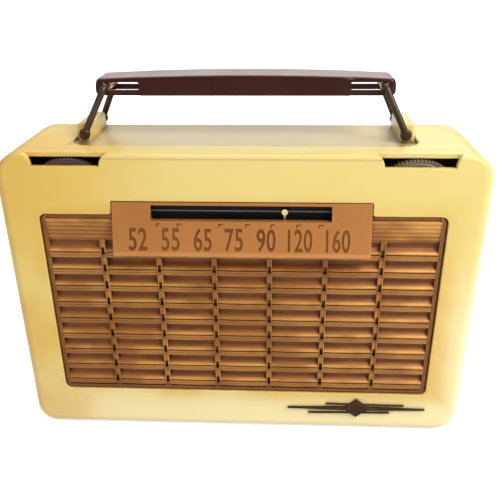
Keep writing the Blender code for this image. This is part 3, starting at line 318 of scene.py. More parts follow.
def rounded_polygon(corners: Array, radii: Array | float, steps: int = 6) -> Array:
    """An anticlockwise outline with an arc in place of each corner.

    The arc of radius r starts r times the tangent of half the turn before the corner
    and goes round a centre that stands r to the inner side of the edge.

    Args:
        corners: A (k, 2) array.
        radii: One radius, or one for each corner.
        steps: How many straight pieces each arc has.

    Returns:
        A (k * (steps + 1), 2) array.
    """
    corners = np.asarray(corners, float)
    radii = np.broadcast_to(np.asarray(radii, float), len(corners))
    before = corners - np.roll(corners, 1, 0)
    after = np.roll(corners, -1, 0) - corners
    before /= np.linalg.norm(before, axis=1, keepdims=True)
    after /= np.linalg.norm(after, axis=1, keepdims=True)
    turn = np.arctan2(before[:, 0] * after[:, 1] - before[:, 1] * after[:, 0], (before * after).sum(1))
    start = corners - before * (radii * np.tan(np.abs(turn) / 2))[:, None]
    side = np.sign(turn)[:, None]
    left = np.stack([-before[:, 1], before[:, 0]], 1) * side
    centre = start + left * radii[:, None]
    angle = turn[:, None] * np.linspace(0, 1, steps + 1)[None, :]
    arm = (start - centre)[:, None, :]
    cos, sin = np.cos(angle), np.sin(angle)
    x = arm[..., 0] * cos - arm[..., 1] * sin
    y = arm[..., 0] * sin + arm[..., 1] * cos
    return (centre[:, None, :] + np.stack([x, y], -1)).reshape(-1, 2)


def grown(outline: Array, distance: Array | float) -> Array:
    """An outline moved outwards along its own normals.

    Args:
        outline: An anticlockwise (n, 2) array.
        distance: One distance, or an (m,) array for m outlines.

    Returns:
        An (n, 2) array, or (m, n, 2).
    """
    apart = np.roll(outline, -1, 0) - outline
    apart /= np.maximum(np.linalg.norm(apart, axis=1, keepdims=True), 1e-12)
    edge = np.stack([apart[:, 1], -apart[:, 0]], 1)
    normal = edge + np.roll(edge, 1, 0)
    normal /= np.maximum((normal**2).sum(1, keepdims=True) / 2, 1e-3)
    return outline + np.asarray(distance)[..., None, None] * normal


def quarter(steps: int) -> tuple[Array, Array]:
    """1 - sine and 1 - cosine from 0 to 90 degrees, which are the two coordinates of a quarter round."""
    angle = np.radians(np.linspace(0, 90, steps + 1))
    return 1 - np.sin(angle), 1 - np.cos(angle)


def rectangle(left: float, right: float, low: float, high: float) -> Array:
    """The corners of a rectangle, anticlockwise from the lower right."""
    return np.array([(right, low), (right, high), (left, high), (left, low)])


def taken_in(distance: Array, radius: Array | float) -> Array:
    """How far a quarter-round edge is set in at a distance from its end plane."""
    short = np.clip(radius - distance, 0, None)
    return radius - np.sqrt(np.clip(radius**2 - short**2, 0, None))


def carried(outline: Array, levels: Array, growth: Array, axis: Axis) -> Array:
    """Rings of an outline grown by a distance at each level along an axis.

    Args:
        outline: An (n, 2) array in the plane across the axis.
        levels: Where each ring lies along the axis.
        growth: How far each ring is grown.
        axis: The axis.

    Returns:
        A (levels, n, 3) array of points.
    """
    rings = grown(outline, growth)
    along = np.broadcast_to(levels[:, None, None], (*rings.shape[:2], 1))
    return axis.place(np.concatenate([rings, along], -1))


def turned(profile: Array, centre: Place, axis: Axis, steps: int = 48) -> Array:
    """Rings of a profile turned about an axis: radius times the cosine and sine of the angle.

    Args:
        profile: (radius, distance along the axis) points, ends included.
        centre: The point that distances are measured from.
        axis: The axis turned about.
        steps: How many points each ring has.

    Returns:
        A (profile points, steps, 3) array.
    """
    angle = np.linspace(0, 2 * math.pi, steps, endpoint=False)[None, :]
    radius, along = profile[:, :1], profile[:, 1:]
    points = np.stack([radius * np.cos(angle), radius * np.sin(angle), along + 0 * angle], -1)
    return axis.place(points) + np.array(centre)


def arc_profile(
    centre: tuple[float, float], radius: float, first: float, last: float, steps: int
) -> Array:
    """Points round an arc, from one angle in degrees to another."""
    angle = np.radians(np.linspace(first, last, steps + 1))
    return np.stack([centre[0] + radius * np.cos(angle), centre[1] + radius * np.sin(angle)], 1)


def piece(name: str, mesh: Mesh, finish: "Finish", body: str = "root") -> Thing:
    """A new piece in one finish that rides on a CAD body.

    Args:
        name: The piece's name.
        mesh: Its mesh, in place.
        finish: The finish it wears.
        body: The CAD body it rides on.

    Returns:
        The object.
    """
    made = bpy.data.objects.new(name, mesh)
    bpy.context.scene.collection.objects.link(made)
    if not any(mesh.materials):
        mesh.materials.clear()
        mesh.materials.append(finish.material())
    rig.ride(made, body)
    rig.slot(made, finish.slot)
    return made


def smoothed(thing: Thing, angle: float = 34.0) -> Thing:
    """Shades a piece smooth up to an angle, and lets its large faces keep their own normals.

    Args:
        thing: The piece.
        angle: The largest angle in degrees that is shaded smooth.

    Returns:
        The same piece.
    """
    thing.data.shade_smooth()
    thing.data.set_sharp_from_angle(angle=math.radians(angle))
    weighted = thing.modifiers.new("even_shading", "WEIGHTED_NORMAL")
    weighted.keep_sharp = True
    weighted.weight = 100
    return thing


def carved(mesh: Mesh, cutter: Mesh) -> Mesh:
    """A mesh with a closed shape taken out of it.

    Args:
        mesh: The mesh that is cut.
        cutter: The shape that cuts.

    Returns:
        The new mesh, which takes the cutter's material on its cut faces if it has one.
    """
    things = [bpy.data.objects.new(m.name, m) for m in (mesh, cutter)]
    for thing in things:
        bpy.context.scene.collection.objects.link(thing)
    step = things[0].modifiers.new("cut", "BOOLEAN")
    step.operation = "DIFFERENCE"
    step.solver = "EXACT"
    step.material_mode = "TRANSFER" if cutter.materials else "INDEX"
    step.use_self = len(cutter.materials) > 0
    step.object = things[1]
    bpy.context.view_layer.update()
    graph = bpy.context.evaluated_depsgraph_get()
    made = bpy.data.meshes.new_from_object(things[0].evaluated_get(graph))
    for thing in things:
        bpy.data.objects.remove(thing, do_unlink=True)
    return made


# ------------------------------------------------------------------ shader groups


class Net:
    """A node tree with short calls for adding and linking nodes."""

    def __init__(self, tree: bpy.types.NodeTree) -> None:
        """Wraps a tree."""
        self.tree = tree

    def node(self, kind: str, /, *, inputs: dict | None = None, **settings: object) -> Node:
        """Adds a node.

        Args:
            kind: The node's type.
            inputs: Values or output sockets for its inputs, by name or index.
            **settings: Attributes of the node.

        Returns:
            The node.
        """
        made = self.tree.nodes.new(kind)
        for key, value in settings.items():
            setattr(made, key, value)
        for key, value in (inputs or {}).items():
            self.feed(made.inputs[key], value)
        return made

    def feed(self, socket: bpy.types.NodeSocket, value: object) -> None:
        """Links an output socket to a socket, or sets its value.

        Args:
            socket: The input socket.
            value: An output socket, a colour or a value.
        """
        if isinstance(value, Socket):
            self.tree.links.new(value, socket)
        elif isinstance(value, tuple) and len(value) == 3 and socket.type == "RGBA":
            socket.default_value = (*value, 1)
        else:
            socket.default_value = value

    def maths(self, operation: str, first: object, second: object = 0.0, clamp: bool = False) -> Socket:
        """The output of a Math node."""
        inputs = {0: first, 1: second}
        return self.node("ShaderNodeMath", operation=operation, use_clamp=clamp, inputs=inputs).outputs[0]

    def times(self, first: object, second: object) -> Socket:
        """The product of two values."""
        return self.maths("MULTIPLY", first, second)

    def minus(self, first: object, second: object) -> Socket:
        """The first value less the second."""
        return self.maths("SUBTRACT", first, second)

    def ranged(
        self, value: object, low: float, high: float, start: float = 0.0, end: float = 1.0
    ) -> Socket:
        """A value carried smoothly from one range to another, and held at its ends."""
        made = self.node(
            "ShaderNodeMapRange",
            interpolation_type="SMOOTHSTEP",
            inputs={0: value, 1: low, 2: high, 3: start, 4: end},
        )
        return made.outputs[0]

    def noise(
        self, scale: object, detail: float = 3.0, vector: object = None, roughness: float = 0.5
    ) -> Socket:
        """The value of a noise texture on object coordinates.

        Args:
            scale: How fine the noise is.
            detail: How many finer layers it has.
            vector: Where it is read, if not at the object coordinates.
            roughness: How strong the finer layers are.

        Returns:
            The value.
        """
        place = vector or self.node("ShaderNodeTexCoord").outputs["Object"]
        made = self.node(
            "ShaderNodeTexNoise",
            inputs={"Vector": place, "Scale": scale, "Detail": detail, "Roughness": roughness},
        )
        return made.outputs[0]

    def mixed(self, factor: object, first: object, second: object) -> Socket:
        """The colour between two colours."""
        inputs = {0: factor, 6: first, 7: second}
        return self.node("ShaderNodeMix", data_type="RGBA", inputs=inputs).outputs[2]


class Groups:
    """The shader groups that several finishes share, each built once."""

    GRAIN = "moulding_grain"
    DIRT = "settled_dirt"
    made: dict[str, bpy.types.NodeTree] = {}

    @classmethod
    def get(cls, name: str) -> bpy.types.NodeTree:
        """The group of that name, built at its first use.

        Args:
            name: The group's name.

        Returns:
            The group.
        """
        if name not in cls.made:
            cls.made[name] = {cls.GRAIN: cls.grain, cls.DIRT: cls.dirt}[name]()
        return cls.made[name]

    @staticmethod
    def tree(
        name: str, sockets: list[tuple[str, str, str, float | None]]
    ) -> tuple[Net, Node, Node]:
        """An empty group with its sockets.

        Args:
            name: The group's name.
            sockets: (name, INPUT or OUTPUT, socket type, default value) of each.

        Returns:
            The group's net, its input node and its output node.
        """
        tree = bpy.data.node_groups.new(name, "ShaderNodeTree")
        for label, way, kind, value in sockets:
            made = tree.interface.new_socket(name=label, in_out=way, socket_type=kind)
            if value is not None:
                made.default_value = value
        net = Net(tree)
        return net, net.node("NodeGroupInput"), net.node("NodeGroupOutput")

    @classmethod
    def grain(cls) -> bpy.types.NodeTree:
        """Fine surface relief, a slow mottle and sparse flecks, all from noise.

        Returns:
            The group.
        """
        number = "NodeSocketFloat"
        net, given, out = cls.tree(
            cls.GRAIN,
            [
                ("Fineness", "INPUT", number, 900.0),
                ("Relief", "INPUT", number, 0.1),
                ("Patch", "INPUT", number, 18.0),
                ("Normal", "OUTPUT", "NodeSocketVector", None),
                ("Mottle", "OUTPUT", number, None),
                ("Fleck", "OUTPUT", number, None),
            ],
        )
        fine = net.noise(given.outputs["Fineness"], 2.0)
        bump = net.node(
            "ShaderNodeBump",
            inputs={"Strength": given.outputs["Relief"], "Distance": 0.0006, "Height": fine},
        )
        mottle = net.ranged(net.noise(given.outputs["Patch"], 4.0), 0.35, 0.68)
        fleck = net.ranged(net.noise(net.times(given.outputs["Patch"], 9.0), 2.0), 0.64, 0.74)
        net.feed(out.inputs["Normal"], bump.outputs[0])
        net.feed(out.inputs["Mottle"], mottle)
        net.feed(out.inputs["Fleck"], fleck)
        return net.tree

    @classmethod
    def dirt(cls) -> bpy.types.NodeTree:
        """A mask of how closed-in a point is, broken up by noise: painted shade in corners where a finish gives a
        darker colour, dust where it gives a lighter one.

        Returns:
            The group.
        """
        number = "NodeSocketFloat"
        net, given, out = cls.tree(
            cls.DIRT,
            [
                ("Reach", "INPUT", number, 0.004),
                ("Amount", "INPUT", number, 0.6),
                ("Mask", "OUTPUT", number, None),
            ],
        )
        reach = {"Distance": given.outputs["Reach"]}
        closed = net.node("ShaderNodeAmbientOcclusion", samples=4, inputs=reach)
        shut = net.ranged(closed.outputs["AO"], 0.85, 0.3)
        broken = net.ranged(net.noise(110.0, 5.0, roughness=0.7), 0.3, 0.6, 0.35, 1.0)
        mask = net.maths("MULTIPLY", net.maths("MULTIPLY", shut, broken), given.outputs["Amount"], clamp=True)
        net.feed(out.inputs["Mask"], mask)
        return net.tree


# ------------------------------------------------------------------ finishes


@dataclass(frozen=True)
class Finish:
    """A moulded, painted or plated surface: two drifting colours, grain, and a colour in its corners by ambient
    occlusion, which is painted shade where it is darker and dust where it is lighter.
    """

    name: str
    slot: str
    colour: Colour
    drift: Colour
    roughness: float = 0.4
    metallic: float = 0.0
    coat: float = 0.0
    coat_roughness: float = 0.12
    specular: float = 0.5
    fineness: float = 900.0
    relief: float = 0.08
    patch: float = 18.0
    fleck: Colour | None = None
    dirt: Colour | None = None
    dirt_reach: float = 0.004
    dirt_amount: float = 0.6
    rough_spread: float = 0.12

    def material(self) -> bpy.types.Material:
        """The finish's material, made at its first use.

        Returns:
            The material.
        """
        known = bpy.data.materials.get(self.name)
        if known:
            return known
        made = bpy.data.materials.new(self.name)
        made.use_nodes = True
        net = Net(made.node_tree)
        shader = made.node_tree.nodes["Principled BSDF"]
        for label, value in (
            ("Metallic", self.metallic),
            ("Coat Weight", self.coat),
            ("Coat Roughness", self.coat_roughness),
            ("Specular IOR Level", self.specular),
        ):
            shader.inputs[label].default_value = value
        grain = net.node("ShaderNodeGroup", node_tree=Groups.get(Groups.GRAIN))
        grain.inputs["Fineness"].default_value = self.fineness
        grain.inputs["Relief"].default_value = self.relief
        grain.inputs["Patch"].default_value = self.patch
        colour = net.mixed(grain.outputs["Mottle"], self.colour, self.drift)
        colour = self.pattern(net, colour, grain)
        if self.fleck:
            colour = net.mixed(grain.outputs["Fleck"], colour, self.fleck)
        if self.dirt:
            # Ambient occlusion colours the corners: painted shade where the colour is darker than the finish, dust
            # where it is lighter.
            shade_and_dust_node = net.node("ShaderNodeGroup", node_tree=Groups.get(Groups.DIRT))
            shade_and_dust_node.inputs["Reach"].default_value = self.dirt_reach
            shade_and_dust_node.inputs["Amount"].default_value = self.dirt_amount
            colour = net.mixed(shade_and_dust_node.outputs["Mask"], colour, self.dirt)
        low = self.roughness - self.rough_spread / 2
        high = self.roughness + self.rough_spread / 2
        net.feed(shader.inputs["Base Color"], colour)
        net.feed(shader.inputs["Roughness"], net.ranged(grain.outputs["Mottle"], 0, 1, low, high))
        net.feed(shader.inputs["Normal"], self.relief_of(net, grain))
        self.extra(net, shader)
        return made

    def pattern(self, net: Net, colour: Socket, grain: Node) -> Socket:
        """The colour with the finish's own pattern on it: none on a plain finish."""
        return colour

    def relief_of(self, net: Net, grain: Node) -> Socket:
        """The normal of the surface."""
        return grain.outputs["Normal"]

    def extra(self, net: Net, shader: Node) -> None:
        """Sets what only some finishes have."""


def axis_value(net: Net, axis: str) -> Socket:
    """One object coordinate of the shaded point."""
    place = net.node("ShaderNodeTexCoord").outputs["Object"]
    return net.node("ShaderNodeSeparateXYZ", inputs={0: place}).outputs[axis]


@dataclass(frozen=True)
class CreamFinish(Finish):
    """The case's plastic: painted shade to the left side and round the grille, paler low down with painted light on
    the right side's lower half, dust on the recess floor and a brown tone at the recess's ends.
    """

    dust: Colour = (0.42, 0.34, 0.2)
    brown: Colour = (0.13, 0.05, 0.01)
    aged: Colour = (0.6, 0.34, 0.045)
    aged_share: float = 0.8
    pale: Colour = (0.84, 0.75, 0.47)
    floor_z: float = 0.1641
    floor_half: float = 0.092
    front_y: float = -0.0263
    hole_half: float = 0.106
    hole_middle: float = 0.082
    hole_tall: float = 0.053

    def pattern(self, net: Net, colour: Socket, grain: Node) -> Socket:
        """Pales the low part and paints light on the right side's lower half, then paints shade to the left and round
        the grille, then adds dust and a brown tone in the recess.

        Args:
            net: The material's net.
            colour: The colour so far.
            grain: The grain group's node.

        Returns:
            The patterned colour.
        """
        # Paler towards the bottom, and painted light on the right side's lower half.
        low = net.maths("MAXIMUM", net.ranged(axis_value(net, "Z"), 0.05, 0.005), self.worn_side(net))
        colour = net.mixed(net.times(low, 0.75), colour, self.pale)
        # Painted shade: a darker yellow to the left side and round the grille's opening, broken up by noise.
        patchy = net.ranged(net.noise(19.0, 4.0), 0.36, 0.6, 0.3, 1.0)
        shade_mask = net.times(net.maths("MAXIMUM", self.side(net), self.hole(net)), patchy)
        colour = net.mixed(net.times(shade_mask, self.aged_share), colour, self.aged)
        return self.soiled(net, colour)

    def worn_side(self, net: Net) -> Socket:
        """A mask of the right side's lower half, where light is painted as a paler colour."""
        right = net.ranged(axis_value(net, "X"), 0.09, 0.128)
        return net.times(right, net.ranged(axis_value(net, "Z"), 0.13, 0.06))

    def side(self, net: Net) -> Socket:
        """A mask of painted shade that grows towards the left side."""
        return net.ranged(axis_value(net, "X"), -0.02, -0.135, 0.0, 0.9)

    def hole(self, net: Net) -> Socket:
        """A mask of painted shade by the distance from the grille's opening, the larger of its two overhangs.

        Args:
            net: The material's net.

        Returns:
            The mask, from 0 to 1.
        """
        wide = net.minus(net.maths("ABSOLUTE", axis_value(net, "X")), self.hole_half)
        away = net.maths("ABSOLUTE", net.minus(axis_value(net, "Z"), self.hole_middle))
        tall = net.minus(away, self.hole_tall)
        return net.ranged(net.maths("MAXIMUM", wide, tall), 0.013, 0.001, 0.0, 0.85)

    def soiled(self, net: Net, colour: Socket) -> Socket:
        """Dust on the floor of the recess, and a brown tone low down at its two ends, by the towers.

        Args:
            net: The material's net.
            colour: The colour so far.

        Returns:
            The soiled colour.
        """
        across = net.maths("ABSOLUTE", axis_value(net, "X"))
        away = net.maths("ABSOLUTE", net.minus(axis_value(net, "Z"), self.floor_z))
        flat = net.ranged(away, 0.0007, 0.0002)
        wide = net.ranged(across, self.floor_half + 0.0005, self.floor_half - 0.001)
        cover = net.ranged(net.noise(70.0, 6.0, roughness=0.65), 0.25, 0.62, 0.75, 1.0)
        dusty = net.times(net.times(flat, wide), cover)
        colour = net.mixed(net.times(dusty, 0.72), colour, self.dust)
        # A brown tone low down at the recess's two ends, by the towers.
        near = net.times(net.ranged(across, 0.078, 0.089), net.ranged(across, 0.0935, 0.0925))
        behind = net.ranged(axis_value(net, "Y"), self.front_y - 0.0005, self.front_y + 0.0005)
        low = net.times(behind, net.ranged(away, 0.0032, 0.0008))
        deep = net.times(near, low)
        broken = net.times(deep, net.ranged(net.noise(170.0, 4.0), 0.36, 0.58))
        return net.mixed(net.times(broken, 0.85), colour, self.brown)


@dataclass(frozen=True)
class LouvreFinish(Finish):
    """The grille's bronze plastic, with painted shade in its depth and a painted golden highlight on the lips that
    stand forward.
    """

    deep_colour: Colour = (0.12, 0.045, 0.014)
    fascia_colour: Colour = (0.2, 0.072, 0.02)
    row_z: float = 0.0292
    pitch: float = 0.01
    last_z: float = 0.1192
    lip_colour: Colour = (0.68, 0.34, 0.085)
    rim_colour: Colour = (0.13, 0.045, 0.012)
    half: float = 0.106
    rim: float = 0.0026
    low_z: float = 0.0266
    taper: float = 0.03
    tall: float = 0.165
    deep_y: float = -0.0405
    body_y: float = -0.0425
    lip_y: float = -0.0443

    def pattern(self, net: Net, colour: Socket, grain: Node) -> Socket:
        """Mixes from the depth's painted shade through the body's colour to the lip's painted highlight by the point's
        Y, then paints shade on the band under each lip.

        Args:
            net: The material's net.
            colour: The colour so far.
            grain: The grain group's node.

        Returns:
            The patterned colour.
        """
        place = axis_value(net, "Y")
        # Painted shade deep in the louvres, then a painted highlight on the lips that stand forward.
        colour = net.mixed(net.ranged(place, self.body_y, self.deep_y), colour, self.deep_colour)
        highlight_patches = net.ranged(net.noise(38.0, 3.0), 0.35, 0.62, 0.25, 1.0)
        forward = net.times(net.ranged(place, self.body_y, self.lip_y), highlight_patches)
        colour = net.mixed(net.times(forward, 0.75), colour, self.lip_colour)
        # Painted shade on the band under each lip.
        colour = net.mixed(net.times(self.fascia(net), 0.55), colour, self.fascia_colour)
        return net.mixed(net.times(self.border(net), 0.85), colour, self.rim_colour)

    def fascia(self, net: Net) -> Socket:
        """A mask of the flat band under each lip, where shade is painted: the lower third of each row.

        Args:
            net: The material's net.

        Returns:
            The mask, from 0 to 1.
        """
        height = axis_value(net, "Z")
        share = net.maths("FRACT", net.maths("DIVIDE", net.minus(height, self.row_z), self.pitch))
        band = net.ranged(share, 0.36, 0.33)
        return net.times(band, net.ranged(height, self.last_z + 0.0002, self.last_z - 0.0002))

    def border(self, net: Net) -> Socket:
        """A mask of the bezel: less than its width from the tapering side, or from the low edge.

        Args:
            net: The material's net.

        Returns:
            The mask, from 0 to 1.
        """
        height = axis_value(net, "Z")
        narrow = net.times(height, self.half * self.taper / self.tall)
        side = net.maths("ADD", narrow, self.half * (1 - self.taper))
        inside = net.minus(side, net.maths("ABSOLUTE", axis_value(net, "X")))
        above = net.minus(height, self.low_z)
        return net.ranged(net.maths("MINIMUM", inside, above), self.rim + 0.0003, self.rim - 0.0003)


@dataclass(frozen=True)
class BrushedFinish(Finish):
    """Drawn or turned metal, with fine lines along one axis."""

    stretch: Place = (1.0, 12.0, 12.0)

    def relief_of(self, net: Net, grain: Node) -> Socket:
        """Noise stretched along the lines, as a bump on the grain.

        Args:
            net: The material's net.
            grain: The grain group's node.

        Returns:
            The normal.
        """
        place = net.node("ShaderNodeTexCoord").outputs["Object"]
        mapping = net.node("ShaderNodeMapping", inputs={"Vector": place, "Scale": self.stretch})
        lines = net.noise(220.0, 2.0, mapping.outputs[0])
        bump = net.node(
            "ShaderNodeBump",
            inputs={"Strength": 0.12, "Distance": 0.0003, "Height": lines, "Normal": grain.outputs["Normal"]},
        )
        return bump.outputs[0]


@dataclass(frozen=True)
class RingedFinish(Finish):
    """A turned wheel: faint rings round its own axis."""

    centre: Place = (0.0, 0.0, 0.0)
    ring_colour: Colour = (0.3, 0.25, 0.18)
    rings: float = 5200.0

    def pattern(self, net: Net, colour: Socket, grain: Node) -> Socket:
        """A wave of the distance from the axis in the XZ plane.

        Args:
            net: The material's net.
            colour: The colour so far.
            grain: The grain group's node.

        Returns:
            The patterned colour.
        """
        place = net.node("ShaderNodeTexCoord").outputs["Object"]
        shift = tuple(-value for value in self.centre)
        moved = net.node("ShaderNodeMapping", inputs={"Vector": place, "Location": shift}).outputs[0]
        flat = net.node("ShaderNodeVectorMath", operation="MULTIPLY", inputs={0: moved, 1: (1.0, 0.0, 1.0)})
        length = net.node("ShaderNodeVectorMath", operation="LENGTH", inputs={0: flat.outputs[0]})
        wave = net.maths("SINE", net.times(length.outputs["Value"], self.rings))
        return net.mixed(net.ranged(wave, 0.1, 1.0, 0.0, 0.45), colour, self.ring_colour)


@dataclass(frozen=True)
class HandleFinish(Finish):
    """The handle's plastic, with a painted grey sheen where it faces up."""

    scuffed: Colour = (0.3, 0.25, 0.23)
    scuffed_share: float = 0.85

    def pattern(self, net: Net, colour: Socket, grain: Node) -> Socket:
        """Paints a sheen by how far up the surface faces, broken up by noise.

        Args:
            net: The material's net.
            colour: The colour so far.
            grain: The grain group's node.

        Returns:
            The patterned colour.
        """
        # Painted sheen: the upward faces turn grey, as the glossy top catches the light.
        facing = net.node("ShaderNodeNewGeometry").outputs["Normal"]
        upward = net.ranged(net.node("ShaderNodeSeparateXYZ", inputs={0: facing}).outputs["Z"], 0.6, 0.9)
        broken = net.ranged(net.noise(60.0, 5.0), 0.3, 0.6, 0.8, 1.0)
        highlight_patches = net.times(net.times(upward, broken), self.scuffed_share)
        return net.mixed(highlight_patches, colour, self.scuffed)


@dataclass(frozen=True)
class WovenFinish(Finish):
    """A plain weave: threads along X and Z, from two crossed waves."""

    pitch: float = 0.0009

    def relief_of(self, net: Net, grain: Node) -> Socket:
        """The height is the product of a sine along X and a sine along Z.

        Args:
            net: The material's net.
            grain: The grain group's node.

        Returns:
            The normal.
        """
        turn = 2 * math.pi / self.pitch
        across = net.maths("SINE", net.times(axis_value(net, "X"), turn))
        along = net.maths("SINE", net.times(axis_value(net, "Z"), turn))
        bump = net.node(
            "ShaderNodeBump",
            inputs={"Strength": 0.5, "Distance": 0.0003, "Height": net.times(across, along)},
        )
        return bump.outputs[0]


@dataclass(frozen=True)
class GlassFinish(Finish):
    """Clear valve glass."""

    clear: float = 0.85
    bending: float = 1.48

    def extra(self, net: Net, shader: Node) -> None:
        """Makes it clear."""
        shader.inputs["Transmission Weight"].default_value = self.clear
        shader.inputs["IOR"].default_value = self.bending


@dataclass(frozen=True)
class ScaleFinish(Finish):
    """The black scale behind the dial, with a fine printed line along it."""

    line_z: float = 0.1354
    line_half: float = 0.00022
    ink: Colour = (0.2, 0.2, 0.19)

    def pattern(self, net: Net, colour: Socket, grain: Node) -> Socket:
        """Ink where the height is within half a line of the line's own."""
        away = net.maths("ABSOLUTE", net.minus(axis_value(net, "Z"), self.line_z))
        return net.mixed(net.ranged(away, 2 * self.line_half, self.line_half), colour, self.ink)


class Paints:
    """Every finish on the radio."""

    # Each finish's corner colour goes in by ambient occlusion: painted shade where it is darker, as on the cream,
    # grille and dial, and dust where it is lighter, as on the two wheels.
    CREAM = CreamFinish(
        "cream_case", "cream_plastic", (0.68, 0.54, 0.18), (0.67, 0.5, 0.125), 0.36,
        coat=0.15, specular=0.4, relief=0.05, patch=9.0,
        dirt=(0.2, 0.09, 0.02), dirt_reach=0.0035, dirt_amount=0.7,
    )
    GRILLE = LouvreFinish(
        "bronze_grille", "grille_plastic", (0.28, 0.1, 0.024), (0.2, 0.068, 0.017), 0.4, 0.3,
        specular=0.3, relief=0.1, patch=40.0, dirt=(0.02, 0.008, 0.003), dirt_reach=0.003,
    )
    DIAL = Finish(
        "copper_dial", "dial_plastic", (0.5, 0.2, 0.046), (0.42, 0.16, 0.036), 0.3, 0.4,
        coat=0.3, relief=0.04, patch=14.0, dirt=(0.1, 0.035, 0.01), dirt_reach=0.002,
    )
    NUMERALS = Finish(
        "numeral_paint", "dial_plastic", (0.13, 0.045, 0.011), (0.2, 0.075, 0.018), 0.5,
        specular=0.1, relief=0.2,
    )
    SCALE = ScaleFinish(
        "scale_black_paint", "scale_black", (0.006, 0.006, 0.006), (0.01, 0.009, 0.008), 0.5,
        specular=0.15,
    )
    HANDLE = HandleFinish(
        "maroon_handle", "handle_plastic", (0.042, 0.0075, 0.005), (0.032, 0.006, 0.004), 0.35,
        coat=0.25, specular=0.05, relief=0.04, patch=30.0,
        dirt=(0.02, 0.012, 0.008), dirt_reach=0.003, dirt_amount=0.4,
    )
    VOLUME = RingedFinish(
        "maroon_wheel", "volume_plastic", (0.06, 0.018, 0.013), (0.045, 0.02, 0.014), 0.42,
        coat=0.2, centre=(-0.089, 0.0, 0.1415), ring_colour=(0.1, 0.05, 0.04),
        dirt=(0.2, 0.14, 0.07), dirt_reach=0.0012,
    )
    TUNING = RingedFinish(
        "umber_wheel", "tuning_plastic", (0.12, 0.085, 0.055), (0.08, 0.055, 0.035), 0.42,
        coat=0.2, centre=(0.089, 0.0, 0.1415), ring_colour=(0.3, 0.22, 0.13),
        dirt=(0.34, 0.26, 0.14), dirt_reach=0.0012,
    )
    BAIL = BrushedFinish(
        "bronzed_wire", "bail_steel", (0.055, 0.038, 0.026), (0.09, 0.066, 0.045), 0.4, 0.75,
        patch=60.0, stretch=(6.0, 6.0, 1.0),
    )
    BADGE = Finish(
        "badge_bronze", "badge_metal", (0.035, 0.017, 0.007), (0.07, 0.035, 0.012), 0.42, 0.4, specular=0.2,
        patch=80.0,
    )
    BRASS = BrushedFinish("brass", "brass", (0.42, 0.29, 0.08), (0.32, 0.21, 0.06), 0.4, 0.9, patch=70.0)
    STEEL = BrushedFinish(
        "plated_steel", "steel", (0.46, 0.45, 0.42), (0.36, 0.35, 0.32), 0.38, 0.95, patch=25.0,
    )
    ZINC = BrushedFinish("zinc", "zinc", (0.52, 0.52, 0.5), (0.4, 0.4, 0.39), 0.48, 0.9, patch=40.0)
    ALUMINIUM = BrushedFinish(
        "spun_aluminium", "aluminium", (0.72, 0.72, 0.71), (0.6, 0.6, 0.6), 0.34, 0.95, patch=30.0,
    )
    IRON = Finish(
        "black_iron", "iron", (0.05, 0.045, 0.042), (0.1, 0.06, 0.035), 0.6, 0.5,
        patch=60.0, relief=0.25,
    )
    RUBBER = Finish("foot_rubber", "rubber", (0.02, 0.018, 0.016), (0.035, 0.03, 0.026), 0.78, relief=0.3)
    NYLON = Finish("cream_nylon", "nylon", (0.72, 0.68, 0.55), (0.6, 0.54, 0.4), 0.45, relief=0.08)
    THREAD = Finish(
        "waxed_thread", "thread", (0.36, 0.27, 0.14), (0.24, 0.17, 0.08), 0.8,
        fineness=2600.0, relief=0.6,
    )
    GLASS = GlassFinish(
        "valve_glass", "valve_glass", (0.8, 0.84, 0.84), (0.6, 0.63, 0.64), 0.06,
        relief=0.0, rough_spread=0.04,
    )
    SOCKET = Finish(
        "socket_bakelite", "socket_plastic", (0.11, 0.045, 0.02), (0.07, 0.03, 0.014), 0.45, coat=0.2,
    )
    CARD = Finish("waxed_card", "card", (0.48, 0.36, 0.18), (0.38, 0.27, 0.12), 0.62, relief=0.2, patch=50.0)
    BATTERY = Finish(
        "battery_wrap", "battery_card", (0.24, 0.035, 0.02), (0.17, 0.025, 0.016), 0.55, patch=30.0,
    )
    BOARD = Finish(
        "hardboard", "board", (0.2, 0.1, 0.045), (0.14, 0.07, 0.03), 0.85,
        fineness=1500.0, relief=0.5,
    )
    FABRIC = WovenFinish("speaker_weave", "speaker_fabric", (0.1, 0.045, 0.018), (0.07, 0.03, 0.012), 0.9)
    PAPER = Finish("cone_felt", "cone_paper", (0.03, 0.027, 0.024), (0.05, 0.045, 0.04), 0.95, relief=0.5)
    LITZ = Finish(
        "litz_winding", "litz", (0.36, 0.16, 0.05), (0.26, 0.11, 0.035), 0.55,
        fineness=1800.0, relief=0.5,
    )

    @classmethod
    def by_slot(cls) -> dict[str, Finish]:
        """The finish that each of the record's material slots stands for."""
        found = [value for value in vars(cls).values() if isinstance(value, Finish)]
        return {finish.slot: finish for finish in found if finish is not cls.NUMERALS}


# ------------------------------------------------------------------ case


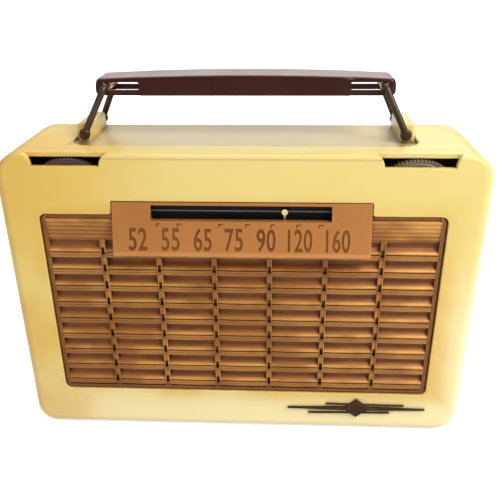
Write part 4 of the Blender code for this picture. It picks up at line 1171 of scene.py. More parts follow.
@dataclass(frozen=True)
class ShellForm:
    """One open half of the case: its rolls, walls and reach."""

    rolls: tuple[float, float, float]
    walls: tuple[float, float, float]
    end_depth: float
    rim_depth: float
    corner_top: float = 0.014
    corner_low: float = 0.011
    soft: float = 0.8
    soft_most: float = 0.006
    lip: float = 0.0005
    corner_steps: int = 14
    roll_steps: int = 10

    def stations(self, rolls: tuple[float, float, float], rim: float) -> Array:
        """Distances from the end plane that sample each roll evenly by angle, and the rim's round.

        Args:
            rolls: Radii of the side, top and low rolls.
            rim: Radius of the rim's round.

        Returns:
            The distances, in order.
        """
        angle = np.radians(np.linspace(0, 90, self.roll_steps + 1))
        along = [radius * (1 - np.cos(angle)) for radius in rolls]
        last = abs(self.rim_depth - self.end_depth)
        along.append(last - rim * (1 - np.cos(angle[::3])))
        every = np.unique(np.round(np.concatenate(along), 6))
        return every[every <= last]

    def rings(self, datum: Datum, distances: Array, rolls: tuple[float, float, float], inner: bool) -> Array:
        """The case's outline at each distance: a rectangle with round corners, set in by the rolls.

        Args:
            datum: The case's planes.
            distances: Distances from the skin's own end plane.
            rolls: Radii of the side, top and low rolls.
            inner: Whether this is the inner skin, which is a wall's thickness in.

        Returns:
            A (distances, points, 3) array.
        """
        wall = self.walls if inner else (0.0, 0.0, 0.0)
        side, top, low = (taken_in(distances, radius) for radius in rolls)
        shift = wall[0] if inner else 0.0
        last = abs(self.rim_depth - self.end_depth) - shift
        lip = 0.0 if inner else taken_in(last - distances, self.lip)
        side, top, low = side + lip, top + lip, low + lip
        soften = self.soft * np.minimum(side, self.soft_most) + max(wall)
        upper, under = self.corner_top - soften, self.corner_low - soften
        half = datum.width / 2 - side - wall[0]
        floor, roof = low + wall[2], datum.height - top - wall[1]
        centre_x = np.stack([half - under, half - upper, upper - half, under - half], 1)
        centre_z = np.stack([floor + under, roof - upper, roof - upper, floor + under], 1)
        radius = np.stack([under, upper, upper, under], 1)
        quarter = np.linspace(0, 90, self.corner_steps + 1)
        angle = np.radians(np.array([-90, 0, 90, 180])[:, None] + quarter)[None]
        x = centre_x[..., None] + radius[..., None] * np.cos(angle)
        z = centre_z[..., None] + radius[..., None] * np.sin(angle)
        facing = 1 if self.rim_depth > self.end_depth else -1
        depth = self.end_depth + facing * (distances + shift)
        y = np.broadcast_to(datum.deep(depth)[:, None, None], x.shape)
        points = np.stack([x * datum.narrowed(z), y, datum.up(z)], -1)
        return points.reshape(len(distances), -1, 3)

    def skin(self, datum: Datum) -> Skin:
        """The outer skin to the rim, and the inner skin back again, as one closed shell.

        Args:
            datum: The case's planes.

        Returns:
            The shell.
        """
        inner_rolls = tuple(radius - wall for radius, wall in zip(self.rolls, self.walls))
        outer = self.rings(datum, self.stations(self.rolls, self.lip), self.rolls, False)
        reach = self.stations(inner_rolls, self.lip)
        last = abs(self.rim_depth - self.end_depth)
        inner_at = np.append(reach[reach < last - self.walls[0]], last - self.walls[0])
        inner = self.rings(datum, inner_at[::-1], inner_rolls, True)
        return Skin().stack(np.concatenate([outer, inner]))


@dataclass(frozen=True)
class Case:
    """The two moulded shells, the towers, the back cover and the feet."""

    datum: Datum
    wall: float = 0.0028
    front_roof: float = 0.0021
    rear_roof: float = 0.005
    front_rolls: tuple[float, float, float] = (0.006, 0.0022, 0.006)
    rear_rolls: tuple[float, float, float] = (0.016, 0.032, 0.010)
    seam: float = 0.0133
    grille_half: float = 0.106
    grille_low: float = 0.0254
    grille_top: float = 0.1329
    grille_corner: float = 0.0035
    dial_half: float = 0.0669
    dial_top: float = 0.1402
    edge_round: float = 0.0006
    wheel_x: float = 0.089
    notch_half: float = 0.0175
    notch_flare: float = 0.0045
    notch_drop: float = 0.0062
    notch_depth: float = 0.0045
    recess_half: float = 0.092
    recess_front: float = 0.019
    recess_corner: float = 0.012
    recess_floor: float = 0.1629
    floor_round: float = 0.0007
    brim_round: float = 0.0012
    tower_x: float = 0.0876
    tower_half: float = 0.0039
    tower_front: float = 0.0345
    tower_back: float = 0.0715
    tower_lean: float = 0.0035
    tower_top: float = 0.1722
    tower_round: float = 0.0011
    door_half: float = 0.1
    door_low: float = 0.02
    door_top: float = 0.126
    door_gap: float = 0.0005
    barrel: float = 0.0024
    barrel_edge: float = 0.0004
    barrel_play: float = 0.0002
    doorway_corner: float = 0.0012
    cover_edge: float = 0.0008
    cover_sunk: float = 0.0007
    cover_border: float = 0.0045
    cover_corner: float = 0.0009
    vent_rows: int = 4
    vent_low: float = 0.085
    vent_pitch: float = 0.008
    vent_apart: float = 0.056
    vent_half: float = 0.022
    vent_tall: float = 0.003
    vent_round: float = 0.0014
    vent_edge: float = 0.0005
    tower_sunk: float = 0.0008

    def build(self) -> None:
        """Makes every piece of the case."""
        self.front()
        self.rear()
        self.back_cover()
        self.feet()

    def hole(
        self, outline: Array, depths: tuple[float, float], round_at: float, radius: float, outward: int
    ) -> Array:
        """Rings of a hole that widens to a face as a quarter round.

        Args:
            outline: (x, height) points of the hole.
            depths: The depths at which the cutter ends, first the one in front of the face.
            round_at: The depth of the face that the edge is rounded to.
            radius: The round's radius.
            outward: The direction in depth that leads out of the wall, 1 or -1.

        Returns:
            Rings for Skin.stack().
        """
        fall, run = quarter(6)
        levels = round_at - outward * radius * fall
        growth = radius * run
        outer, inner = depths
        levels = np.concatenate([[inner], levels, [outer]])
        growth = np.concatenate([[0.0], growth, [radius]])
        lifted = outline + np.array([0.0, self.datum.base_z])
        return carried(lifted, self.datum.deep(levels), growth, Axis.Y)

    def opening(self) -> Array:
        """The outline of the grille's opening with the dial's part above it.

        Returns:
            (x, height) points.
        """
        top, low = self.grille_top + GAP, self.grille_low - GAP
        half = self.grille_half + GAP
        wide_low, wide_top = half * self.datum.narrowed(low), half * self.datum.narrowed(top)
        dial, crown = self.dial_half + GAP, self.dial_top + GAP
        right = [(wide_low, low), (wide_top, top), (dial, top), (dial, crown)]
        left = [(-x, z) for x, z in reversed(right)]
        corner, tight, inner = self.grille_corner, 2 * GAP, 5 * GAP
        radii = [corner, corner, inner, tight, tight, inner, corner, corner]
        return rounded_polygon(np.array([*right, *left]), radii)

    def notch(self, side: int) -> Array:
        """The thumbwheel's notch: a flat bottom whose ends rise in quarter waves and flare outwards.

        Args:
            side: -1 on the left, 1 on the right.

        Returns:
            (x, height) points.
        """
        fall, run = quarter(12)
        out = self.notch_half + self.notch_flare * run
        rise = self.datum.height - self.notch_drop * fall
        right = np.stack([out, rise], 1)
        brow = np.array([[out[-1], self.datum.height + self.wall]])
        shape = np.concatenate([right, brow, brow * (-1, 1), (right * (-1, 1))[::-1]])
        return shape + np.array([side * self.wheel_x, 0.0])

    def front(self) -> None:
        """The front shell, with the opening for grille and dial and the two notches."""
        walls = (self.wall, self.front_roof, self.wall)
        form = ShellForm(self.front_rolls, walls, 0.0, self.seam - GAP / 2)
        mesh = form.skin(self.datum).mesh("front_shell")
        through = (-PAST_FACE, 2 * self.wall)
        opening = Skin().stack(self.hole(self.opening(), through, 0.0, self.edge_round, -1))
        mesh = carved(mesh, opening.mesh("opening"))
        notches = Skin()
        for side in (-1, 1):
            cut = (-PAST_FACE, self.notch_depth)
            notches.stack(self.hole(self.notch(side), cut, 0.0, self.edge_round, -1))
        made = smoothed(piece("front_shell", carved(mesh, notches.mesh("notches")), Paints.CREAM))
        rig.replaces(made, "front_cabinet")
        LOG.info("front shell: %d faces", len(made.data.polygons))

    def recess(self) -> Array:
        """Rings of the recess in the top: a rounded floor corner, a straight wall and a rounded brim.

        Returns:
            Rings for Skin.stack().
        """
        near, far = self.datum.deep(self.recess_front), self.datum.deep(self.datum.depth + self.wall)
        half = self.recess_half
        plan = rounded_polygon(rectangle(-half, half, near, far), self.recess_corner, 14)
        fall, run = quarter(6)
        floor = self.recess_floor + self.floor_round * run
        brim = self.datum.height - self.brim_round * fall
        levels = np.concatenate([floor, brim, [self.datum.height + self.wall]])
        inward, outward = -self.floor_round * fall, self.brim_round * run
        growth = np.concatenate([inward, outward, [self.brim_round]])
        return carried(plan, self.datum.up(levels), growth, Axis.Z)

    def tower(self, side: int) -> Array:
        """Rings of one tower: a rounded block whose ends lean in and whose top edge is round.

        Args:
            side: -1 on the left, 1 on the right.

        Returns:
            Rings for Skin.stack().
        """
        fall, run = quarter(5)
        shoulder = self.tower_top - self.tower_round * fall
        levels = np.concatenate([[self.recess_floor - self.tower_sunk], shoulder])
        inset = np.append(0.0, self.tower_round * run)
        lean = self.tower_lean * (levels - self.recess_floor) / (self.tower_top - self.recess_floor)
        middle = self.datum.deep((self.tower_front + self.tower_back) / 2)
        long = (self.tower_back - self.tower_front) / 2
        plan = rectangle(-self.tower_half, self.tower_half, -long, long)
        rings = grown(rounded_polygon(plan, self.tower_round, 5), -inset)
        rings[..., 1] *= (1 - lean / long)[:, None]
        rings += np.array([side * self.tower_x, middle])
        height = np.broadcast_to(self.datum.up(levels)[:, None, None], (*rings.shape[:2], 1))
        return np.concatenate([rings, height], -1)

    def rear(self) -> None:
        """The rear shell with its recess, towers and the opening for the back cover."""
        walls = (self.wall, self.rear_roof, self.wall)
        form = ShellForm(self.rear_rolls, walls, self.datum.depth, self.seam + GAP / 2)
        mesh = form.skin(self.datum).mesh("rear_shell")
        mesh = carved(mesh, Skin().stack(self.recess()).mesh("recess"))
        half, low = self.door_half + self.door_gap, self.door_low - self.barrel - self.door_gap
        high = self.door_top + self.door_gap
        doorway = rounded_polygon(rectangle(-half, half, low, high), self.doorway_corner, 4)
        depths = (self.datum.depth + PAST_FACE, self.datum.depth - 2 * self.wall)
        cut = Skin().stack(self.hole(doorway, depths, self.datum.depth, self.edge_round, 1))
        mesh = carved(mesh, cut.mesh("doorway"))
        made = smoothed(piece("rear_shell", mesh, Paints.CREAM))
        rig.replaces(made, "rear_cabinet")
        for side, name in ((-1, "tower_left"), (1, "tower_right")):
            smoothed(piece(name, Skin().stack(self.tower(side)).mesh(name), Paints.CREAM))
        LOG.info("rear shell: %d faces", len(made.data.polygons))

    def back_cover(self) -> None:
        """The hinged cover: a rounded plate with a raised border, three columns of vents and a barrel."""
        fall, run = quarter(5)
        outer, inner = self.datum.depth, self.datum.depth - self.wall
        sunk, border = self.cover_sunk, self.cover_border
        levels = np.concatenate([[inner], outer - self.cover_edge * fall, [outer, outer - sunk]])
        insets = np.concatenate([[0.0], self.cover_edge * run, [border, border + sunk]])
        mesh = Skin().stack(self.cover_rings(levels, insets)).mesh("back_cover")
        vents = self.vents((outer + PAST_FACE, inner - PAST_FACE), outer - sunk)
        mesh = carved(mesh, vents.mesh("vents"))
        cover = smoothed(piece("back_cover", mesh, Paints.CREAM, "door"))
        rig.replaces(cover, "back_door")
        reach, axle, edge = self.door_half - self.barrel_play, self.barrel, self.barrel_edge
        near = np.array([(axle - edge, -reach), (axle, edge - reach)])
        profile = np.concatenate([near, near[::-1] * (1, -1)])
        centre = (0.0, self.datum.deep(self.datum.depth - axle), self.datum.up(self.door_low))
        barrel = Skin().stack(turned(profile, centre, Axis.X, 28)).mesh("cover_barrel")
        smoothed(piece("cover_barrel", barrel, Paints.CREAM, "door"))

    def vents(self, depths: tuple[float, float], face: float) -> Skin:
        """Rows of slots with round ends, in three columns, each edge rounded to the face.

        Args:
            depths: The depths at which the cutter ends, first the outer one.
            face: The depth of the sunk face.

        Returns:
            The cutters.
        """
        slots, half, tall = Skin(), self.vent_half, self.vent_tall
        for row in range(self.vent_rows):
            for column in (-1, 0, 1):
                x, z = column * self.vent_apart, self.vent_low + row * self.vent_pitch
                corners = rectangle(x - half, x + half, z, z + tall)
                shape = rounded_polygon(corners, self.vent_round, 4)
                slots.stack(self.hole(shape, depths, face, self.vent_edge, 1))
        return slots

    def cover_rings(self, levels: Array, insets: Array) -> Array:
        """Rectangles with small round corners, each set in by its own distance at its own depth.

        Args:
            levels: The depth of each ring.
            insets: How far each is set in.

        Returns:
            Rings for Skin.stack().
        """
        half, low, high = self.door_half - insets, self.door_low + insets, self.door_top - insets
        corners = np.moveaxis(rectangle(-half, half, low, high), -1, 0)
        outlines = np.stack([rounded_polygon(shape, self.cover_corner, 5) for shape in corners])
        y = np.broadcast_to(self.datum.deep(levels)[:, None], outlines.shape[:2])
        return np.stack([outlines[..., 0], y, self.datum.up(outlines[..., 1])], -1)

    def feet(self) -> None:
        """Four rubber feet: a disc with a round lower edge on a stem."""
        for index in range(1, 5):
            name = f"foot_{index}"
            low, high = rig.box(name)
            middle = (low + high) / 2
            profile = self.foot_profile((high.x - low.x) / 2)
            rings = turned(profile, (middle.x, middle.y, low.z), Axis.Z, 36)
            made = smoothed(piece(f"rubber_{name}", Skin().stack(rings).mesh(name), Paints.RUBBER))
            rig.replaces(made, name)

    @staticmethod
    def foot_profile(radius: float) -> Array:
        """(radius, height) points from the dimple in the sole, round the disc, to the stem's end.

        Args:
            radius: The disc's radius.

        Returns:
            The points.
        """
        dimple = np.array([(0.0006, 0.0003), (0.0024, 0.0003), (0.0028, 0.0)])
        sole = arc_profile((radius - 0.0004, 0.0004), 0.0004, -90, 0, 5)
        upper = arc_profile((radius - 0.0002, 0.0007), 0.0002, 0, 90, 3)
        stem = np.array([(0.0022, 0.0009), (0.002, 0.0036)])
        return np.concatenate([dimple, sole, upper, stem])


# ------------------------------------------------------------------ grille


@dataclass(frozen=True)
class Grille:
    """The louvred moulding: a depth given over a grid of places across the face.

    The depth is the bezel's at the border, a row's own louvre section inside each
    column, the double wall of a rib with its pocket between columns, and a sloping
    bank of reeds in the two upper corners.
    """

    datum: Datum
    half: float = 0.106
    low: float = 0.0254
    top: float = 0.1329
    corner: float = 0.0035
    bezel: float = 0.0026
    row_low: float = 0.028
    pitch: float = 0.01
    rows: int = 9
    rib_pitch: float = 0.0298
    ribs: int = 6
    rib_half: float = 0.0015
    pocket_half: float = 0.0009
    reed_low: float = 0.1192
    reed_top: float = 0.1304
    reeds: int = 5
    back: float = 0.0059
    thin_back: float = 0.0026
    notch_half: float = 0.0672
    notch_low: float = 0.1117
    thin_above: float = 0.1176
    steep: float = 0.00004
    least_step: float = 0.00003
    louvre_back: float = 0.005
    louvre_bow: float = 0.00035
    rib_face: float = 0.0009
    rib_step: float = 0.0004
    rib_flat: float = 0.8
    pocket_floor: float = 0.0034
    pocket_brow: float = 0.0016
    pocket_from: float = 0.185
    pocket_to: float = 0.605
    sill: float = 0.0022
    bank_face: float = 0.0009
    bank_fall: float = 0.0009
    bank_bow: float = 1.5
    reed_tall: float = 0.0005
    rim_face: float = 0.0009
    rim_fall: float = 0.0016
    rim_round: float = 0.0006
    corner_run: float = 0.005
    span_steps: int = 57
    sharp: float = 32.0

    def louvre(self) -> Array:
        """One row's section as (share of the pitch from its lower edge, depth) points.

        Returns:
            The points, in order of height.
        """
        return np.array(
            [
                (0.0, 0.0038), (0.02, 0.0038), (0.025, 0.0012), (0.045, 0.00095),
                (0.15, 0.00095), (0.17, 0.00115), (0.185, 0.00115), (0.205, 0.0009),
                (0.315, 0.0009), (0.325, 0.0017), (0.365, 0.0017), (0.372, 0.00105),
                (0.39, 0.00082), (0.415, 0.0008), (0.44, 0.00092), (0.5, 0.0015),
                (0.57, 0.00235), (0.64, 0.0031), (0.69, 0.0036), (0.73, 0.0038), (1.0, 0.0038),
            ]
        )

    def across(self) -> Array:
        """The grid's X values: close at the walls of ribs and bezel, even between them.

        Returns:
            The values, in order.
        """
        centres = (np.arange(self.ribs) - (self.ribs - 1) / 2) * self.rib_pitch
        reaches = np.array([self.pocket_half, self.rib_half])
        near = np.concatenate([reaches - self.steep, reaches + self.steep, [self.rib_half * self.rib_flat]])
        walls = centres[:, None] + np.concatenate([-near, near])[None, :]
        edge = self.half - self.bezel
        border = self.half - np.array([0.0, 0.0003, 0.0007])
        border = np.append(border, edge + np.array([self.rim_round, self.steep, -self.steep]))
        border = np.append(border, self.notch_half)
        span = np.linspace(-edge, edge, self.span_steps)
        return self.spaced(np.concatenate([walls.ravel(), border, -border, span]))

    def upright(self) -> Array:
        """The grid's heights: the knots of every row, of the bezel and of the reeds.

        Returns:
            The heights, in order.
        """
        slip = 0.005 * np.array([-1.0, 1.0])
        pockets = np.concatenate([self.pocket_from + slip, self.pocket_to + slip])
        shares = np.concatenate([self.louvre()[:, 0], pockets])
        knots = (np.arange(self.rows)[:, None] + shares[None, :]) * self.pitch + self.row_low
        reeds = np.linspace(self.reed_low, self.reed_top, self.reeds * 10 + 1)
        lower = self.low + np.array([0.0, 0.0003, 0.0007, 0.0014, 0.0022])
        upper = self.top - np.array([0.0, 0.0003, 0.0007])
        single = [self.notch_low, self.reed_low - 0.0002, self.reed_top + 0.0001]
        corner = self.corner * quarter(6)[1]
        rounds = [self.low + corner, self.top - corner]
        return self.spaced(np.concatenate([knots.ravel(), reeds, lower, upper, single, *rounds]))

    def spaced(self, values: Array) -> Array:
        """Sorted values without those that stand closer than the least step to the one before."""
        ordered = np.unique(np.round(values, 6))
        return ordered[np.concatenate([[True], np.diff(ordered) > self.least_step])]

    def depth(self, x: Array, z: Array) -> Array:
        """The depth of the face at each place of the grid, as the class says.

        Args:
            x: The grid's X values.
            z: Its heights.

        Returns:
            The depths, in the same shape.
        """
        share = np.mod((z - self.row_low) / self.pitch, 1.0)
        section = self.louvre()
        face = np.interp(share, section[:, 0], section[:, 1])
        nearest = np.clip(np.round(x / self.rib_pitch - 0.5), -3, 2) + 0.5
        off = np.abs(x - nearest * self.rib_pitch)
        column = np.clip((off - self.rib_half) / (self.rib_pitch / 2 - self.rib_half), 0, 1)
        face = face + self.louvre_bow * (1 - column) ** 2 * (face < self.louvre_back)
        pocket = (share > self.pocket_from) & (share < self.pocket_to)
        wall = self.rib_face + self.rib_step * (off > self.rib_flat * self.rib_half)
        between = np.where(pocket, self.pocket_floor, self.pocket_brow)
        rib = np.where(off < self.pocket_half, between, wall)
        face = np.where(off < self.rib_half, rib, face)
        slope = (self.reed_top - z) / (self.reed_top - self.reed_low)
        ridge = np.abs(np.sin(math.pi * self.reeds * slope))
        fall = self.bank_fall * np.clip(slope, 0, 1) ** self.bank_bow
        bank = self.bank_face + fall + self.reed_tall * (1 - ridge)
        face = np.where(z > self.reed_low, bank, face)
        under = (z > self.row_low + self.rows * self.pitch) & (z <= self.reed_low)
        over = z > self.reed_top + 0.00005
        return self.with_bezel(x, z, np.where(under | over, self.sill, face))

    def with_bezel(self, x: Array, z: Array, face: Array) -> Array:
        """The depth with the bezel's band, which falls away at the outer edge.

        Args:
            x: The grid's X values.
            z: Its heights.
            face: The depths inside the bezel.

        Returns:
            The depths with the bezel.
        """
        side = self.half - np.abs(x)
        under = z - self.low
        rim = np.minimum(side, under)
        outer = self.rim_face + self.rim_fall * np.clip(1 - rim / self.rim_round, 0, 1) ** 2
        band = (side < self.bezel) | (under < self.bezel - 0.0002)
        crown = np.clip(self.rim_round - (self.top - z), 0, None)
        return np.where(band, outer, face) + crown

    def places(self, x: Array, z: Array, depth: Array) -> Array:
        """Points of the grid: the outer band follows the round corners, and X the case's taper.

        Args:
            x: The grid's X values.
            z: Its heights.
            depth: Its depths.

        Returns:
            A (rows, columns, 3) array.
        """
        near_low = np.clip(self.corner - (z - self.low), 0, self.corner)
        near_top = np.clip(self.corner - (self.top - z), 0, self.corner)
        cut = self.corner - np.sqrt(np.clip(self.corner**2 - np.maximum(near_low, near_top) ** 2, 0, None))
        over = np.clip(np.abs(x) - self.half + self.corner_run, 0, None)
        moved = np.abs(x) - over * cut / self.corner_run
        width = np.sign(x) * moved * self.datum.narrowed(z)
        return np.stack([width, self.datum.deep(depth), self.datum.up(z)], -1)

    def build(self) -> None:
        """Makes the moulding as a front and a back grid, joined by walls round every kept cell."""
        x, z = np.meshgrid(self.across(), self.upright())
        front = self.places(x, z, self.depth(x, z))
        thick = np.where(z > self.thin_above, self.thin_back, self.back)
        back = self.places(x, z, thick)
        rows, cols = x.shape
        cells = quads(rows, cols, False, False)
        middle_x = np.abs((x[:-1, :-1] + x[1:, 1:]) / 2)
        middle_z = (z[:-1, :-1] + z[1:, 1:]) / 2
        kept = ~((middle_x < self.notch_half) & (middle_z > self.notch_low))
        faces = [cells[kept.ravel()], cells[kept.ravel()][:, ::-1] + rows * cols]
        faces.append(self.walls(kept, rows, cols))
        mesh = Skin().add(np.stack([front, back]), faces).mesh("grille_moulding")
        made = piece("grille_moulding", without_loose_points(mesh), Paints.GRILLE)
        made.data.shade_smooth()
        made.data.set_sharp_from_angle(angle=math.radians(self.sharp))
        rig.replaces(made, "grille")
        LOG.info("grille: %d faces", len(made.data.polygons))

    @staticmethod
    def walls(kept: Array, rows: int, cols: int) -> Array:
        """Quads from the front to the back grid along every edge that only one kept cell has.

        Args:
            kept: Which cells of the grid are kept.
            rows: The grid's rows of points.
            cols: Its columns of points.

        Returns:
            An (n, 4) array of indices.
        """
        padded = np.pad(kept, 1)
        index = np.arange(rows * cols).reshape(rows, cols)
        below = padded[:-1, 1:-1] != padded[1:, 1:-1]
        beside = padded[1:-1, :-1] != padded[1:-1, 1:]
        pairs = [np.stack([index[:, :-1][below], index[:, 1:][below]], 1)]
        pairs.append(np.stack([index[:-1, :][beside], index[1:, :][beside]], 1))
        edge = np.concatenate(pairs)
        shift = rows * cols
        return np.stack([edge[:, 0], edge[:, 1], edge[:, 1] + shift, edge[:, 0] + shift], 1)


def without_loose_points(mesh: Mesh) -> Mesh:
    """The mesh without points that no face uses.

    Args:
        mesh: The mesh, which is changed in place.

    Returns:
        The same mesh.
    """
    bm = bmesh.new()
    bm.from_mesh(mesh)
    bmesh.ops.delete(bm, geom=[vert for vert in bm.verts if not vert.link_faces], context="VERTS")
    bm.to_mesh(mesh)
    bm.free()
    return mesh


# ------------------------------------------------------------------ dial


@dataclass(frozen=True)
class Dial:
    """The wedge-shaped dial plate with its window, cut numerals and marks."""

    datum: Datum
    half: float = 0.0669
    low: float = 0.112
    top: float = 0.1402
    out: float = 0.0055
    lip: float = 0.0026
    skirt: float = 0.0012
    edge: float = 0.0009
    window_half: float = 0.0465
    window_low: float = 0.1308
    window_top: float = 0.1387
    figure_low: float = 0.1154
    figure_tall: float = 0.0121
    figure_deep: float = 0.0003
    figure_out: float = 0.001
    narrow: float = 0.6
    narrowest: float = 0.56
    window_round: float = 0.0007
    figures: tuple[tuple[str, float], ...] = (
        ("52", -0.0534), ("55", -0.0364), ("65", -0.0197), ("75", -0.0036), ("90", 0.0130),
        ("120", 0.0304), ("160", 0.0498),
    )
    marks: tuple[float, ...] = (-0.0426, -0.0317, -0.0104, 0.0036, 0.0164, 0.0296, 0.0411)

    def slope(self) -> tuple[Vector, Vector]:
        """The upper and the lower point of the sloping face's middle line.

        Returns:
            The two points.
        """
        upper = Vector((0.0, self.datum.deep(0.0), self.datum.up(self.top)))
        lower = Vector((0.0, self.datum.deep(-self.out), self.datum.up(self.low + self.lip)))
        return upper, lower

    def plate(self) -> Skin:
        """The wedge's section, with every corner a small arc, carried along X and set in at its ends.

        Returns:
            The closed wedge.
        """
        corners = [
            (self.datum.deep(self.skirt), self.datum.up(self.low)),
            (self.datum.deep(self.skirt), self.datum.up(self.top)),
            (self.datum.deep(0.0), self.datum.up(self.top)),
            (self.datum.deep(-self.out), self.datum.up(self.low + self.lip)),
            (self.datum.deep(-self.out), self.datum.up(self.low)),
        ]
        radii = [0.0002, 0.0002, 0.0005, 0.0012, 0.0006]
        section = rounded_polygon(np.array(corners), radii, 5)
        fall, run = quarter(5)
        levels, inset = self.edge * run - self.half, self.edge * fall
        levels = np.concatenate([levels, -levels[::-1]])
        inset = np.concatenate([inset, inset[::-1]])
        front = np.clip((self.datum.deep(self.skirt) - section[:, 0]) / self.skirt, 0, 1)
        y = section[None, :, 0] + inset[:, None] * front[None, :]
        x, z = np.broadcast_to(levels[:, None], y.shape), np.broadcast_to(section[None, :, 1], y.shape)
        return Skin().stack(np.stack([x, y, z], -1))

    def window(self) -> Skin:
        """The slot through the plate: a rectangle with small round corners, straight from front to back.

        Returns:
            The cutter.
        """
        corners = rectangle(-self.window_half, self.window_half, self.window_low, self.window_top)
        outline = rounded_polygon(corners, self.window_round, 4)
        levels = np.array([PAST_FACE + self.skirt, -2 * self.out])
        lifted = outline + np.array([0.0, self.datum.base_z])
        return Skin().stack(carried(lifted, self.datum.deep(levels), np.zeros(2), Axis.Y))

    def figure_mesh(self) -> Mesh:
        """The numerals and marks as closed letters that reach just into the sloping face.

        Returns:
            The cutter.
        """
        upper, lower = self.slope()
        down = (lower - upper).normalized()
        tilt = math.atan2(-down.y, -down.z)
        parts = []
        for text, x in self.figures:
            curve = bpy.data.curves.new("figure", "FONT")
            curve.body, curve.align_x, curve.size, curve.extrude = text, "CENTER", 1.0, 0.05
            curve.resolution_u, curve.offset = 3, 0.012
            curve.space_character = 1.04
            parts.append(self.laid(curve, x, tilt, self.narrow if len(text) < 3 else self.narrowest))
        bars = Skin()
        for x in self.marks:
            bars.stack(self.mark(x))
        joined = Skin()
        for mesh in (*parts, bars.mesh("marks")):
            points = np.empty(len(mesh.vertices) * 3)
            mesh.vertices.foreach_get("co", points)
            joined.add(points, [np.array(face.vertices)[None] for face in mesh.polygons])
        return joined.mesh("figures")

    def face_y(self, height: Array | float) -> Array | float:
        """The Y of the sloping face at a height above the underside.

        Args:
            height: The height above the underside.

        Returns:
            The Y.
        """
        upper, lower = self.slope()
        share = (self.datum.up(height) - upper.z) / (lower.z - upper.z)
        return upper.y + (lower.y - upper.y) * share

    def mark(self, x: float) -> Array:
        """Rings of a small hooked mark, from in front of the sloping face to just inside it.

        Args:
            x: The mark's middle.

        Returns:
            Rings for Skin.stack().
        """
        hook = np.array(
            [
                (-0.0012, 0.1278), (-0.0006, 0.1278), (-0.0006, 0.129), (0.0012, 0.129),
                (0.0012, 0.1296), (-0.0012, 0.1296),
            ]
        )
        outline = rounded_polygon(hook, 0.0001, 2) + np.array([x, 0.0])
        y = self.face_y(outline[:, 1])[None, :] + np.array([[-self.figure_out], [self.figure_deep]])
        flat = np.broadcast_to(outline[None], (2, *outline.shape))
        return np.stack([flat[..., 0], y, self.datum.up(flat[..., 1])], -1)

    def laid(self, curve: bpy.types.Curve, x: float, tilt: float, narrow: float) -> Mesh:
        """A word laid on the sloping face: scaled to its height, stood up and leant back by the slope.

        Args:
            curve: The word, flat in its own plane.
            x: Its middle.
            tilt: The slope's angle in radians.
            narrow: How much of its width is kept.

        Returns:
            The laid mesh.
        """
        holder = bpy.data.objects.new("word", curve)
        bpy.context.scene.collection.objects.link(holder)
        bpy.context.view_layer.update()
        graph = bpy.context.evaluated_depsgraph_get()
        mesh = bpy.data.meshes.new_from_object(holder.evaluated_get(graph))
        bpy.data.objects.remove(holder, do_unlink=True)
        points = np.empty(len(mesh.vertices) * 3)
        mesh.vertices.foreach_get("co", points)
        points = points.reshape(-1, 3)
        size = self.figure_tall / np.ptp(points[:, 1])
        along = (points[:, 1] - points[:, 1].min()) * size
        height = self.figure_low + along * math.cos(tilt)
        y = self.face_y(height) + np.where(points[:, 2] > 0, -self.figure_out, self.figure_deep)
        middle = (points[:, 0].max() + points[:, 0].min()) / 2
        placed = np.stack([x + (points[:, 0] - middle) * size * narrow, y, self.datum.up(height)], 1)
        mesh.vertices.foreach_set("co", placed.ravel())
        return mesh

    def build(self) -> None:
        """Cuts the window and the numerals into the plate."""
        plate = self.plate().mesh("dial_panel")
        plate.materials.append(Paints.DIAL.material())
        plate = carved(plate, self.window().mesh("window"))
        figures = self.figure_mesh()
        figures.materials.append(Paints.NUMERALS.material())
        plate = carved(plate, figures)
        made = smoothed(piece("dial_panel", plate, Paints.DIAL))
        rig.replaces(made, "dial_plate")
        LOG.info("dial plate: %d faces", len(made.data.polygons))


# ------------------------------------------------------------------ thumbwheels and badge


